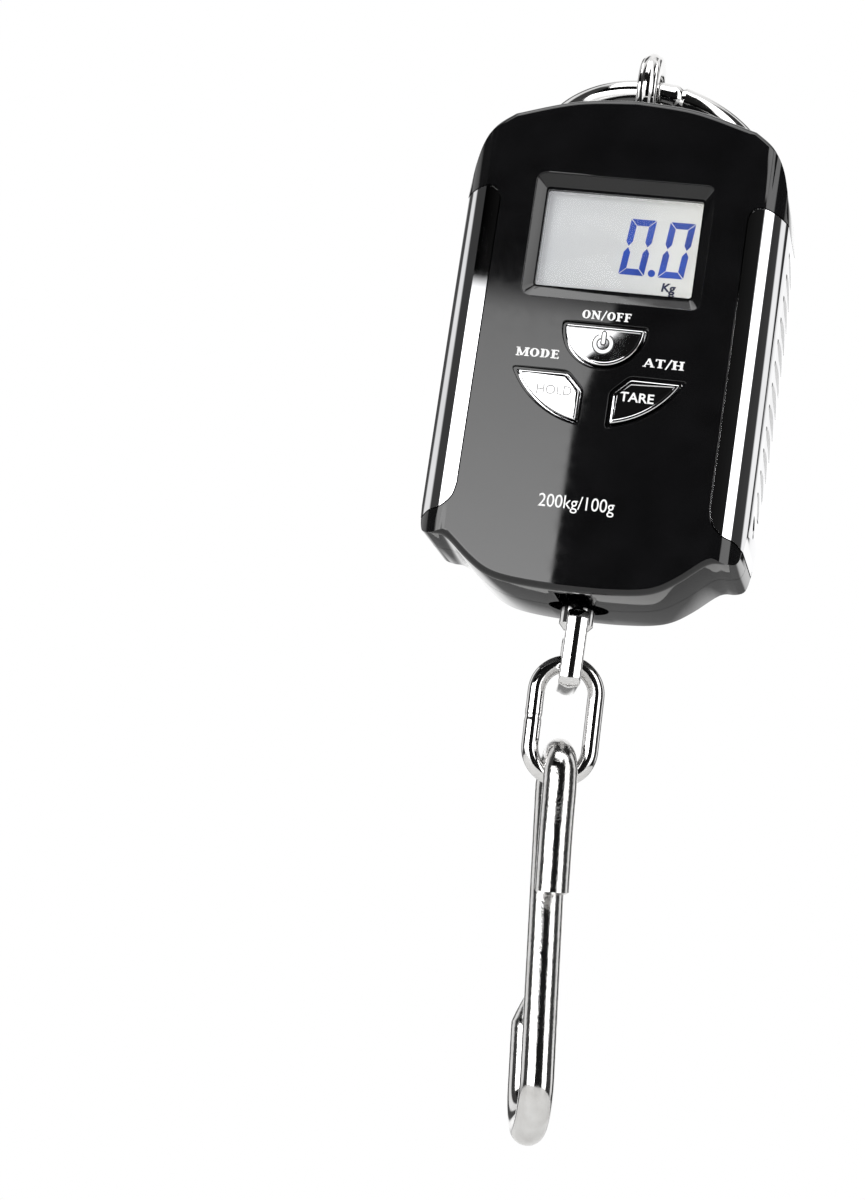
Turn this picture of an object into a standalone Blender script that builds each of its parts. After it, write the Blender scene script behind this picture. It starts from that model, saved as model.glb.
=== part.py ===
"""Hand-held digital hanging scale: a plastic casing around an S-beam load cell.

The origin is the centre of the hole in the upper eye, +Z runs up along the
casing, -Y is the display side and +X is the right side seen from the front.
Sizes in this script are millimetres; SCALE turns them into metres.
"""

import math

import bmesh
import bpy
from mathutils import Matrix, Vector

SCALE = 0.001
GAP = 0.3                     # clearance between separate pieces

# Casing
TOP_Z = -8.4                  # crown of the casing
BOTTOM_Z = -125.4             # middle of the lower edge
HALF_WIDTH = 39.0
FRONT_Y = -19.0
BACK_Y = 19.0
FRONT_CORNER_X = 29.0         # where the front face turns into the side
FRONT_CROWN = 1.0             # how far the front face falls back at that corner
WALL = 2.0
SIDE_WALL = 4.4               # shell plus the grip that lies in it
GRIP_SIDE = 2.0               # thickness of a grip on the side face
GRIP_FRONT = 0.9              # and where it laps onto the front
GRIP_BACK_Y = 13.0
FRONT_EDGE_RADIUS = 1.6
REAR_TOP_RADIUS = 9.0
REAR_BOTTOM_RADIUS = 2.4
SPLIT_Y = 0.0
RIB_COUNT = 13                # finger ribs on each grip
RIB_TOP = -38.6
RIB_PITCH = 5.2

# Display, in the front face
WINDOW_HALF_X = 18.2
WINDOW_TOP = -31.0
WINDOW_BOTTOM = -54.2

# Buttons
POWER_Z = -63.7
POWER_RADIUS = 9.0
KEY_CENTRE_Z = -64.9          # the two lower keys are cut from one disc
KEY_DISC_RADIUS = 21.5
KEY_TOP_Z = -75.4
KEY_INNER_X = 3.9
KEY_CHAMFER = 3.6
BUTTON_FACE_Y = -19.4
BUTTON_BACK_Y = -15.2

# Board
BOARD_FRONT_Y = -10.4
BOARD_BACK_Y = -8.8

# Load cell and its eye bolts
CELL_TOP = -38.0
CELL_BOTTOM = -92.0
CELL_HALF_X = 16.0
CELL_HALF_Y = 5.5
ARM = 9.5                     # height of the two loaded arms
CELL_SLOT = 10.0
BOLT_RADIUS = 4.0
UPPER_EYE_HOLE = 4.6
UPPER_EYE_OUTER = 9.8
UPPER_EYE_THICKNESS = 4.8
LOWER_EYE_HOLE = 4.1
LOWER_EYE_OUTER = 8.2          # half its depth, and hole centre to lower end
LOWER_EYE_TOP = -126.4
LOWER_EYE_THICKNESS = 5.0
LOWER_EYE_Z = -136.9

# Hanging ring, link and hook
RING_RADIUS = 27.4
RING_WIRE = 3.3
RING_FOLD = 28.5              # degrees below horizontal, folded to the back
RING_ROLL = 3.0               # it leans on one shoulder of the casing
LINK_WIRE = 2.0
LINK_ARC = 6.9
LINK_STRAIGHT = 12.7
LINK_TOP_Z = LOWER_EYE_Z - LOWER_EYE_HOLE + LINK_WIRE + GAP
LINK_PIVOT_Z = LINK_TOP_Z - LINK_ARC
HOOK_ROD = 3.9
HOOK_EYE_HALF = 6.3
HOOK_BOWL = 10.05
HOOK_DEPTH = 81.1             # pivot to the underside of the bowl
HOOK_TIP = 44.1               # pivot to the point
EYE_YAW = 11.0
LINK_YAW = 13.0
LINK_LEAN = 1.4
HOOK_YAW = 15.9
HOOK_LEAN = 3.9
HOOK_TILT = -9.0

# Batteries
CELL_AAA_RADIUS = 5.25
BATTERY_Y = 11.5
BATTERY_Z = (-99.3, -110.0)
BAY_HALF_X = 27.0
BAY_TOP = -92.5
BAY_BOTTOM = -116.8
DOOR_HALF_X = 25.0
DOOR_TOP = -93.7
DOOR_BOTTOM = -115.5
DOOR_THICKNESS = 1.8


# ---------------------------------------------------------------- scene

def clear_scene():
    for item in list(bpy.data.objects):
        bpy.data.objects.remove(item, do_unlink=True)


def material(name, colour, metallic=0.0, roughness=0.5, transmission=0.0):
    made = bpy.data.materials.new(name)
    made.use_nodes = True
    shader = made.node_tree.nodes["Principled BSDF"]
    shader.inputs["Base Color"].default_value = (*colour, 1.0)
    shader.inputs["Metallic"].default_value = metallic
    shader.inputs["Roughness"].default_value = roughness
    shader.inputs["Transmission Weight"].default_value = transmission
    made.diffuse_color = (*colour, 1.0)
    return made


def add_object(name, mesh, look=None, parent=None):
    item = bpy.data.objects.new(name, mesh)
    bpy.context.scene.collection.objects.link(item)
    if look:
        mesh.materials.clear()
        mesh.materials.append(look)
    mesh.shade_smooth()
    mesh.set_sharp_from_angle(angle=math.radians(30))
    if parent:
        item.parent = parent
    return item


def pivot(name, place, turn=Matrix.Identity(4), parent=None):
    """An empty on a joint's axis; place is in millimetres in its parent."""
    empty = bpy.data.objects.new(name, None)
    bpy.context.scene.collection.objects.link(empty)
    empty.parent = parent
    empty.matrix_local = Matrix.Translation(Vector(place) * SCALE) @ turn
    return empty


# ---------------------------------------------------------------- solids

def solid(name, rings, closed=False):
    """Skin a list of equal point loops; the ends are capped unless closed."""
    build = bmesh.new()
    loops = [[build.verts.new(Vector(p) * SCALE) for p in ring] for ring in rings]
    pairs = list(zip(loops, loops[1:]))
    if closed:
        pairs.append((loops[-1], loops[0]))
    for near, far in pairs:
        for i in range(len(near)):
            j = (i + 1) % len(near)
            build.faces.new((near[i], near[j], far[j], far[i]))
    if not closed:
        build.faces.new(loops[0])
        build.faces.new(loops[-1])
    bmesh.ops.recalc_face_normals(build, faces=build.faces)
    mesh = bpy.data.meshes.new(name)
    build.to_mesh(mesh)
    build.free()
    if mesh_volume(mesh) < 0:
        mesh.flip_normals()
    return mesh


def mesh_volume(mesh):
    build = bmesh.new()
    build.from_mesh(mesh)
    volume = build.calc_volume(signed=True)
    build.free()
    return volume


def prism_y(name, outline, near, far):
    """Extrude an outline of (x, z) points between two y values."""
    return solid(name, [[(x, y, z) for x, z in outline] for y in (near, far)])


def prism_x(name, outline, near, far):
    """Extrude an outline of (y, z) points between two x values."""
    return solid(name, [[(x, y, z) for y, z in outline] for x in (near, far)])


def prism_z(name, outline, near, far):
    """Extrude an outline of (x, y) points between two z values."""
    return solid(name, [[(x, y, z) for x, y in outline] for z in (near, far)])


def box(name, low, high):
    (x0, y0, z0), (x1, y1, z1) = low, high
    return prism_z(name, [(x0, y0), (x1, y0), (x1, y1), (x0, y1)], z0, z1)


def circle(radius, steps):
    turn = 2 * math.pi / steps
    return [(radius * math.cos(i * turn), radius * math.sin(i * turn)) for i in range(steps)]


AXES = {"x": (Vector((0, 1, 0)), Vector((0, 0, 1)), Vector((1, 0, 0))),
        "y": (Vector((0, 0, 1)), Vector((1, 0, 0)), Vector((0, 1, 0))),
        "z": (Vector((1, 0, 0)), Vector((0, 1, 0)), Vector((0, 0, 1)))}


def turned(name, profile, centre=(0, 0, 0), axis="z", steps=24):
    """Rings of (distance along the axis, radius) around an axis."""
    side, up, along = AXES[axis]
    rings = []
    for distance, radius in profile:
        base = Vector(centre) + along * distance
        rings.append([base + side * a + up * b for a, b in circle(radius, steps)])
    return solid(name, rings)


def rod(name, radius, centre, axis, near, far, steps=24):
    return turned(name, [(near, radius), (far, radius)], centre, axis, steps)


def swept(name, path, radii, steps, across, closed=False):
    """A round rod along a plane path; across is the normal of its plane."""
    points = [Vector(p) for p in path]
    count = len(points)
    normal = Vector(across)
    rings = []
    for i, (point, radius) in enumerate(zip(points, radii)):
        before = points[i - 1] if (i or closed) else point
        after = points[(i + 1) % count] if (i < count - 1 or closed) else point
        side = (after - before).normalized().cross(normal)
        rings.append([point + side * a + normal * b for a, b in circle(radius, steps)])
    return solid(name, rings, closed=closed)


def combined(base, tool, operation="DIFFERENCE"):
    """Return base cut by, joined to or kept inside the tool mesh."""
    target = bpy.data.objects.new("target", base)
    cutter = bpy.data.objects.new("cutter", tool)
    for item in (target, cutter):
        bpy.context.scene.collection.objects.link(item)
    step = target.modifiers.new("step", "BOOLEAN")
    step.operation = operation
    step.solver = "EXACT"
    step.object = cutter
    graph = bpy.context.evaluated_depsgraph_get()
    graph.update()
    result = bpy.data.meshes.new_from_object(target.evaluated_get(graph))
    result.name = base.name
    for item in (target, cutter):
        bpy.data.objects.remove(item, do_unlink=True)
    return cleaned(result)


def cleaned(mesh):
    """Merge the slivers that a Boolean leaves."""
    build = bmesh.new()
    build.from_mesh(mesh)
    bmesh.ops.remove_doubles(build, verts=build.verts, dist=0.000002)
    bmesh.ops.dissolve_degenerate(build, edges=build.edges, dist=0.000002)
    build.to_mesh(mesh)
    build.free()
    return mesh


def minus(base, *tools):
    for tool in tools:
        base = combined(base, tool, "DIFFERENCE")
    return base


def plus(base, *tools):
    for tool in tools:
        base = combined(base, tool, "UNION")
    return base


def common(base, tool):
    return combined(base, tool, "INTERSECT")


# ---------------------------------------------------------------- outlines

def arc(centre, radii, start, end, steps):
    """Points of an elliptical arc, angles in degrees."""
    points = []
    for i in range(steps + 1):
        angle = math.radians(start + (end - start) * i / steps)
        points.append((centre[0] + radii[0] * math.cos(angle),
                       centre[1] + radii[1] * math.sin(angle)))
    return points


def smooth(points, steps):
    """A Catmull-Rom curve through the points."""
    made = []
    ends = [points[0]] + list(points) + [points[-1]]
    for a, b, c, d in zip(ends, ends[1:], ends[2:], ends[3:]):
        for i in range(steps):
            t = i / steps
            made.append(tuple(
                0.5 * (2 * q + (r - p) * t + (2 * p - 5 * q + 4 * r - s) * t ** 2
                       + (3 * q - p - 3 * r + s) * t ** 3)
                for p, q, r, s in zip(a, b, c, d)))
    made.append(points[-1])
    return made


def mirrored(half):
    """Close a right half, given from the top middle to the bottom middle."""
    return half + [(-x, z) for x, z in reversed(half[1:-1])]


def offset(outline, distance):
    """Move each corner of a closed outline inwards by the distance."""
    area = sum(a[0] * b[1] - b[0] * a[1]
               for a, b in zip(outline, outline[1:] + outline[:1]))
    sign = 1 if area > 0 else -1
    amounts = distance if isinstance(distance, list) else [distance] * len(outline)
    moved = []
    count = len(outline)
    for i, amount in enumerate(amounts):
        here = Vector(outline[i])
        back = (here - Vector(outline[i - 1])).normalized()
        ahead = (Vector(outline[(i + 1) % count]) - here).normalized()
        first = Vector((-back.y, back.x)) * sign
        second = Vector((-ahead.y, ahead.x)) * sign
        middle = (first + second).normalized()
        moved.append(tuple(here + middle * (amount / max(middle.dot(first), 0.5))))
    return moved


def rounded_box(x0, z0, x1, z1, radius, steps=4):
    return (arc((x1 - radius, z1 - radius), (radius, radius), 0, 90, steps)
            + arc((x0 + radius, z1 - radius), (radius, radius), 90, 180, steps)
            + arc((x0 + radius, z0 + radius), (radius, radius), 180, 270, steps)
            + arc((x1 - radius, z0 + radius), (radius, radius), 270, 360, steps))


def casing_front_outline():
    """The casing seen from the front: arched top, S-curved lower corners."""
    top = smooth([(0, TOP_Z), (14, TOP_Z - 1.2), (28.2, TOP_Z - 5.0)], 3)
    shoulder = smooth([(28.2, TOP_Z - 5.0), (32.4, TOP_Z - 8.2), (35.2, TOP_Z - 12.8),
                       (36.6, TOP_Z - 17.5)], 2)[1:]
    side = smooth([(36.6, TOP_Z - 17.5), (HALF_WIDTH - 0.6, -40), (HALF_WIDTH, -66),
                   (HALF_WIDTH - 0.4, -94), (37.2, -111)], 1)[1:]
    lower = smooth([(37.2, -111), (36.2, -114.2), (33.8, -115.0), (30.2, -115.6),
                    (24.6, -120.2), (20.0, -123.2), (15.0, -124.6), (7.0, -125.3),
                    (0, BOTTOM_Z)], 2)[1:]
    return mirrored(top + shoulder + side + lower)


def casing_plan_outline(inset_x=0.0, inset_y=0.0):
    """The casing seen from above: crowned front, rounded sides, flat back."""
    corner_x = FRONT_CORNER_X - inset_x * 0.5
    corner_y = FRONT_Y + FRONT_CROWN
    side = HALF_WIDTH - inset_x
    front = smooth([(0, FRONT_Y + inset_y), (14.5, FRONT_Y + inset_y + 0.25 * FRONT_CROWN),
                    (corner_x, corner_y + inset_y)], 2)
    turn = arc((corner_x, -8), (side - 0.7 - corner_x, -8 - corner_y - inset_y), -90, 0, 6)[1:]
    flank = [(side - 0.1, -2), (side, 3), (side - 0.3, 8)]
    rear = arc((27.5, 8), (side - 0.3 - 27.5, BACK_Y - 8 - inset_y), 0, 90, 6)[1:]
    return mirrored(front + turn + flank + rear + [(0, BACK_Y - inset_y)])


def rear_radius(z):
    """The rear edge is rounder at the top than at the bottom."""
    share = min(max((z - BOTTOM_Z) / (TOP_Z - BOTTOM_Z), 0), 1)
    return REAR_BOTTOM_RADIUS + (REAR_TOP_RADIUS - REAR_BOTTOM_RADIUS) * share ** 2


def casing_solid(name, inset=0.0, inset_x=0.0):
    """The casing's outer body, or an even inset of it."""
    outline = casing_front_outline()
    edge = FRONT_EDGE_RADIUS
    rounding = [rear_radius(z) for _, z in outline]
    if inset:
        outline = offset(outline, inset)
        edge = 0.4
        rounding = [max(radius - inset, 0.4) for radius in rounding]

    def front_y(x):
        return FRONT_Y + FRONT_CROWN * (x / FRONT_CORNER_X) ** 2 + inset

    start = offset(outline, edge)
    rings = [[(x, front_y(x) - 2, z) for x, z in start]]
    for i in range(4):
        angle = math.radians(30 * i)
        loop = offset(outline, edge * (1 - math.sin(angle)))
        lift = edge * (1 - math.cos(angle))
        rings.append([(x, front_y(x) + lift, z) for x, z in loop])
    for i in range(5):
        angle = math.radians(22.5 * i)
        loop = offset(outline, [r * (1 - math.cos(angle)) for r in rounding])
        rings.append([(x, BACK_Y - inset - r * (1 - math.sin(angle)), z)
                      for (x, z), r in zip(loop, rounding)])
    rings.append([(x, y + 2, z) for x, y, z in rings[-1]])
    plan = prism_z(name + "_plan", casing_plan_outline(inset_x or inset, inset), 5, -140)
    return common(solid(name, rings), plan)


def grip_outline(side, grow=0.0):
    """Front view of the region that a grip covers, on the side +1 or -1."""
    shape = (smooth([(29.0, -37.0), (29.3, -33.6), (31.6, -31.8), (36.0, -32.8),
                     (45.0, -37.0)], 3)
             + smooth([(45.0, -116.0), (38.0, -111.6), (35.4, -109.6), (32.4, -108.6),
                       (30.0, -106.2), (29.2, -103.0)], 3))
    if grow:
        shape = offset(shape, -grow)
    return [(side * x, z) for x, z in shape]


def slot_outline(y0, z0, y1, z1, radius, steps=5):
    """A round-ended slot between two points of the side view."""
    heading = math.degrees(math.atan2(z1 - z0, y1 - y0))
    return (arc((y1, z1), (radius, radius), heading - 90, heading + 90, steps)
            + arc((y0, z0), (radius, radius), heading + 90, heading + 270, steps))


def power_outline():
    return arc((0, POWER_Z), (POWER_RADIUS, POWER_RADIUS), 180, 360, 16)


def key_outline(side):
    """A lower key: flat top, chamfered inner corner, round outer corner."""
    top_x = math.sqrt(KEY_DISC_RADIUS ** 2 - (KEY_TOP_Z - KEY_CENTRE_Z) ** 2)
    start = math.degrees(math.atan2(KEY_TOP_Z - KEY_CENTRE_Z, top_x))
    drop = math.sqrt(KEY_DISC_RADIUS ** 2 - KEY_INNER_X ** 2)
    end = math.degrees(math.atan2(-drop, KEY_INNER_X))
    rim = arc((0, KEY_CENTRE_Z), (KEY_DISC_RADIUS, KEY_DISC_RADIUS), start, end, 9)
    shape = rim + [(KEY_INNER_X, KEY_TOP_Z - KEY_CHAMFER),
                   (KEY_INNER_X + KEY_CHAMFER, KEY_TOP_Z)]
    return [(side * x, z) for x, z in shape]


BUTTONS = {"power": (power_outline(), -0.4, -66.8),
           "hold": (key_outline(-1), -9.5, -79.0),
           "tare": (key_outline(1), 9.5, -79.0)}

CASE_SCREWS = [(-27.0, -26.0), (27.0, -26.0), (-30.6, -106.5), (30.6, -106.5)]
BOSS_START = [-16.6, -16.6, -13.8, -13.8]
BOSS_END = [17.8, 17.8, 15.5, 15.5]
BOARD_SCREWS = [(-21.5, -61.2), (21.5, -61.2), (-18.5, -89.5), (18.5, -89.5)]
CELL_SCREWS = [(-12.0, -42.8), (12.0, -42.8)]


# ---------------------------------------------------------------- casing

def half_space(name, near, far):
    return box(name, (-60, near, -150), (60, far, 10))


def grip_pocket(side):
    region = prism_y("pocket", grip_outline(side, GAP), -30, GRIP_BACK_Y + GAP)
    floor = casing_plan_outline(GRIP_SIDE + GAP, GRIP_FRONT + GAP)
    return minus(region, prism_z("pocket_floor", floor, 20, -160))


def hollow_casing():
    shell = casing_solid("casing")
    inner = casing_solid("inner", WALL, SIDE_WALL)
    return minus(shell, inner, grip_pocket(1), grip_pocket(-1))


def eye_openings():
    """Round hole at the top; keyhole at the bottom, its slot to the front."""
    slot = arc((0, 0.6), (7.0, 7.0), -57, 237, 18)
    keyhole = [(3.8, -15.2)] + slot + [(-3.8, -15.2)]
    return [rod("top_hole", 6.2, (0, 0, 0), "z", TOP_Z - 6, TOP_Z + 3),
            prism_z("keyhole", keyhole, BOTTOM_Z - 2, BOTTOM_Z + 6)]


def post(x, z, radius, near, far, steps=16):
    return rod("post", radius, (x, 0, z), "y", near, far, steps)


def display_recess():
    """A dished surround that narrows to the window."""
    wide = rounded_box(-20.7, -57.4, 20.7, -27.8, 2.0)
    narrow = rounded_box(-18.6, -54.7, 18.6, -30.4, 0.8)
    return solid("recess", [[(x, y, z) for x, z in loop]
                            for loop, y in ((wide, -20.2), (wide, -18.9), (narrow, -16.4))])


def make_front_shell(look, hollow):
    shell = common(hollow, half_space("front_half", -40, SPLIT_Y - GAP / 2))
    surround = box("surround", (-23, -17.6, -59), (23, -15.0, -25.5))
    shell = plus(shell, surround)
    for (x, z), start in zip(CASE_SCREWS, BOSS_START):
        shell = plus(shell, post(x, z, 2.9, start, SPLIT_Y - GAP / 2 - 0.6))
    for x, z in BOARD_SCREWS:
        shell = plus(shell, post(x, z, 1.9, -17.4, BOARD_FRONT_Y - GAP, 12))
    window = rounded_box(-WINDOW_HALF_X, WINDOW_BOTTOM, WINDOW_HALF_X, WINDOW_TOP, 0.6, 2)
    shell = minus(shell, display_recess(), prism_y("window", window, -22, -14))
    for outline, _, _ in BUTTONS.values():
        shell = minus(shell,
                      prism_y("seat", offset(outline, -1.1), -22, -18.0),
                      prism_y("hole", offset(outline, -0.35), -22, -14))
    for x, z in CASE_SCREWS:
        shell = minus(shell, post(x, z, 1.55, -13.0, 4, 12))
    for x, z in BOARD_SCREWS:
        shell = minus(shell, post(x, z, 1.05, -15.4, -8, 10))
    shell = minus(shell, *eye_openings())
    return add_object("front_shell", shell, look)


def battery_bay():
    """The open box behind the door that holds the two cells."""
    outer = box("bay", (-BAY_HALF_X, 4.9, BAY_BOTTOM), (BAY_HALF_X, BACK_Y - 1.0, BAY_TOP))
    inner = box("bay_inside", (-BAY_HALF_X + 1.2, 5.9, BAY_BOTTOM + 1.1),
                (BAY_HALF_X - 1.2, BACK_Y + 3, BAY_TOP - 1.1))
    return common(outer, casing_solid("bay_limit", 0.7, 0.7)), inner


def make_rear_shell(look, hollow):
    shell = common(hollow, half_space("rear_half", SPLIT_Y + GAP / 2, 40))
    bay, bay_inside = battery_bay()
    shell = plus(shell, bay)
    for (x, z), end in zip(CASE_SCREWS, BOSS_END):
        shell = plus(shell, post(x, z, 3.4, SPLIT_Y + GAP / 2 + 0.3, end))
    for x, z in CELL_SCREWS:
        shell = plus(shell, post(x, z, 3.2, CELL_HALF_Y + GAP, BACK_Y - 1.2))
    opening = box("door_opening", (-DOOR_HALF_X - GAP, BACK_Y - DOOR_THICKNESS - 0.4,
                                   DOOR_BOTTOM - GAP),
                  (DOOR_HALF_X + GAP, BACK_Y + 3, DOOR_TOP + GAP))
    shell = minus(shell, bay_inside, opening)
    for x, z in CASE_SCREWS:
        shell = minus(shell, post(x, z, 2.6, 12.6, 25), post(x, z, 1.6, -4, 14, 12))
    for x, z in CELL_SCREWS:
        shell = minus(shell, post(x, z, 1.7, 3, 15, 12))
    wires = [box("wire_way", (x - 1.1, 3, BAY_TOP - 3.4), (x + 1.1, 9, BAY_TOP + 1))
             for x in (-24.6, 24.6)]
    shell = minus(shell, *wires, *eye_openings())
    return add_object("rear_shell", shell, look)


def make_grip(side, look, name):
    body = casing_solid("grip_body")
    region = prism_y("grip_region", grip_outline(side), -30, GRIP_BACK_Y)
    inside = prism_z("grip_inside", casing_plan_outline(GRIP_SIDE, GRIP_FRONT), 20, -160)
    grip = minus(common(body, region), inside)
    face = side * HALF_WIDTH
    for i in range(RIB_COUNT):
        z = RIB_TOP - i * RIB_PITCH
        outline = slot_outline(-6.0, z, 6.0, z - 5.2, 1.25, 3)
        grip = minus(grip, prism_x("rib_slot", outline, face - side * 0.9, face + side * 3))
    return add_object(name, grip, look)


def make_battery_door(look):
    door_pivot = pivot("battery_door_pivot",
                       (0, BACK_Y - DOOR_THICKNESS / 2, DOOR_BOTTOM + DOOR_THICKNESS / 2))
    half = DOOR_THICKNESS / 2
    height = DOOR_TOP - DOOR_BOTTOM - half
    profile = arc((0, 0), (half, half), 180, 360, 8) + [(half, height), (-half, height)]
    plate = prism_x("battery_door", profile, -DOOR_HALF_X, DOOR_HALF_X)
    notch = box("finger_notch", (-6, half - 0.7, height - 4.5), (6, half + 2, height - 1.5))
    tab = box("latch", (-4, -half - 1.1, height - 2.4), (4, 0, height - 0.6))
    plate = minus(plus(plate, tab), notch)
    return add_object("battery_door", plate, look, door_pivot)


# ---------------------------------------------------------------- display and board

def make_display(looks):
    step = rounded_box(-WINDOW_HALF_X + GAP, WINDOW_BOTTOM + GAP,
                       WINDOW_HALF_X - GAP, WINDOW_TOP - GAP, 0.6, 2)
    flange = rounded_box(-20.4, -56.4, 20.4, -28.8, 0.6, 2)
    window = plus(prism_y("display_window", step, -16.3, -14.0),
                  prism_y("flange", flange, -14.7, -13.8))
    add_object("display_window", window, looks["clear"])
    add_object("lcd_panel", box("lcd_panel", (-20.4, -13.5, -56.4), (20.4, -12.1, -28.8)),
               looks["lcd"])
    frame = minus(box("lcd_frame", (-21.8, -14.4, -58.2), (21.8, -10.9, -27.2)),
                  box("frame_inside", (-20.8, -20, -57.3), (20.8, -5, -28.4)))
    add_object("lcd_frame", frame, looks["light_plastic"])
    add_object("backlight_panel",
               box("backlight", (-20.4, -11.8, -54.6), (20.4, -10.7, -28.8)),
               looks["light_plastic"])
    add_object("zebra_strip",
               box("zebra", (-19.0, -11.8, -56.8), (19.0, -10.7, -55.0)),
               looks["rubber"])


def make_board(looks):
    board = box("board", (-23.9, BOARD_FRONT_Y, -92.0), (23.9, BOARD_BACK_Y, -28.5))
    for x, z in BOARD_SCREWS:
        board = minus(board, post(x, z, 1.15, -12, -7, 12))
    add_object("main_board", board, looks["board"])
    chips = {"converter_chip": (-20.5, -72.0, 7.0), "controller_chip": (16.6, -70.0, 9.0)}
    for name, (x, z, size) in chips.items():
        mesh = box(name, (x - size / 2, BOARD_BACK_Y + GAP, z - size / 2),
                   (x + size / 2, BOARD_BACK_Y + GAP + 1.3, z + size / 2))
        add_object(name, mesh, looks["chip"])
    for name, (_, x, z) in BUTTONS.items():
        switch = plus(box(name, (x - 3, -13.2, z - 3), (x + 3, BOARD_FRONT_Y - GAP, z + 3)),
                      rod("plunger", 1.6, (x, 0, z), "y", -14.1, -13.0, 12))
        add_object(name + "_switch", switch, looks["chip"])


def make_button(name, outline, look):
    """The cap runs through the shell; a flange behind the wall holds it in."""
    levels = ((BUTTON_FACE_Y, 0.5), (BUTTON_FACE_Y + 0.35, 0.12), (BUTTON_FACE_Y + 0.8, 0.0),
              (-16.1, 0.0), (-16.1, -0.8), (BUTTON_BACK_Y, -0.8))
    rings = [[(x, y, z) for x, z in offset(outline, inset)] for y, inset in levels]
    centre = Vector((sum(p[0] for p in outline) / len(outline), BUTTON_FACE_Y,
                     sum(p[1] for p in outline) / len(outline)))
    key_pivot = pivot(name + "_button_pivot", centre)
    local = [[Vector(p) - centre for p in ring] for ring in rings]
    return add_object(name + "_button", solid(name, local), look, key_pivot)


# ---------------------------------------------------------------- load train

def make_load_cell(looks):
    body = box("load_cell", (-CELL_HALF_X, -CELL_HALF_Y, CELL_BOTTOM),
               (CELL_HALF_X, CELL_HALF_Y, CELL_TOP))
    upper = CELL_TOP - ARM
    lower = CELL_BOTTOM + ARM
    body = minus(
        body,
        box("upper_slot", (-30, -20, upper - CELL_SLOT), (10.5, 20, upper)),
        box("lower_slot", (-10.5, -20, lower), (30, 20, lower + CELL_SLOT)),
        prism_y("gauge_hole", rounded_box(-8, -69.2, 8, -60.8, 3.0), -20, 20),
        rod("upper_bore", BOLT_RADIUS + 0.35, (0, 0, 0), "z", upper - 3, CELL_TOP + 5),
        rod("lower_bore", BOLT_RADIUS + 0.35, (0, 0, 0), "z", CELL_BOTTOM - 5, lower + 3))
    for x, z in CELL_SCREWS:
        body = minus(body, post(x, z, 1.85, -10, 10, 12))
    add_object("load_cell", body, looks["aluminium"])
    for name, z in (("strain_gauge_upper", -61.2), ("strain_gauge_lower", -68.8)):
        gauge = box(name, (-3.2, -4.0, z - 0.1), (3.2, 4.0, z + 0.1))
        add_object(name, gauge, looks["gauge"])


def eye_plate(name, centre_z, hole, outer, thickness, edge):
    """A ring plate with rounded edges; its hole runs along X."""
    half = thickness / 2
    bevel = 0.7
    profile = (arc((half - edge, outer - edge), (edge, edge), 0, 90, 3)
               + arc((edge - half, outer - edge), (edge, edge), 90, 180, 3)
               + [(-half, hole + bevel), (bevel - half, hole),
                  (half - bevel, hole), (half, hole + bevel)])
    rings = []
    for a, b in circle(1.0, 24):
        rings.append([(x, radius * a, centre_z + radius * b) for x, radius in profile])
    return solid(name, rings, closed=True)


def eye_tab(name):
    """A tall tab with rounded edges and a flat lower end; its hole runs along X."""
    outer, hole = LOWER_EYE_OUTER, LOWER_EYE_HOLE
    outline = rounded_box(-outer, LOWER_EYE_Z - outer, outer, LOWER_EYE_TOP, 2.4)
    half = LOWER_EYE_THICKNESS / 2
    levels = ((half, 1.1), (half - 0.35, 0.45), (half - 1.1, 0.0),
              (1.1 - half, 0.0), (0.35 - half, 0.45), (-half, 1.1))
    tab = solid(name, [[(x, y, z) for y, z in offset(outline, inset)] for x, inset in levels])
    bevel = 1.2
    bore = [(-half - 1, hole + bevel + 1), (bevel - half, hole), (half - bevel, hole),
            (half + 1, hole + bevel + 1)]
    return minus(tab, turned("bore", bore, (0, 0, LOWER_EYE_Z), "x"))


def hex_nut(name, low, high, parent, look):
    nut = minus(rod(name, 7.5, (0, 0, 0), "z", low, high, 6),
                rod("thread", BOLT_RADIUS + GAP, (0, 0, 0), "z", low - 2, high + 2, 20))
    return add_object(name, nut, look, parent)


def washer(name, low, high, parent, look):
    plate = minus(rod(name, 7.2, (0, 0, 0), "z", low, high, 24),
                  rod("bore", BOLT_RADIUS + GAP, (0, 0, 0), "z", low - 2, high + 2, 20))
    return add_object(name, plate, look, parent)


def make_upper_eye(looks):
    shank_end = CELL_TOP - ARM - CELL_SLOT + 0.6
    bolt = turned("shank", [(shank_end, 3.5), (shank_end + 0.6, BOLT_RADIUS),
                            (-13.0, BOLT_RADIUS), (-11.4, 5.4), (-9.2, 5.4), (-6.6, 2.6)])
    eye = eye_plate("upper_eye_bolt", 0, UPPER_EYE_HOLE, UPPER_EYE_OUTER,
                    UPPER_EYE_THICKNESS, 1.9)
    add_object("upper_eye_bolt", plus(eye, bolt), looks["chrome"])
    arm = CELL_TOP - ARM
    washer("upper_washer", arm - 1.9, arm - GAP, None, looks["steel"])
    hex_nut("upper_nut", arm - 8.4, arm - 2.2, None, looks["steel"])


def make_lower_eye(looks):
    swivel = pivot("lower_eye_pivot", (0, 0, 0), Matrix.Rotation(math.radians(EYE_YAW), 4, "Z"))
    arm = CELL_BOTTOM + ARM
    top = arm + CELL_SLOT - 0.7
    bolt = turned("shank", [(top, 3.5), (top - 0.6, BOLT_RADIUS), (-129.6, BOLT_RADIUS),
                            (-131.7, 2.35)])
    add_object("lower_eye_bolt", plus(eye_tab("lower_eye_bolt"), bolt), looks["chrome"],
               swivel)
    washer("lower_washer", arm + GAP, arm + 1.9, swivel, looks["steel"])
    hex_nut("lower_nut", arm + 2.2, arm + 8.4, swivel, looks["steel"])


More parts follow.
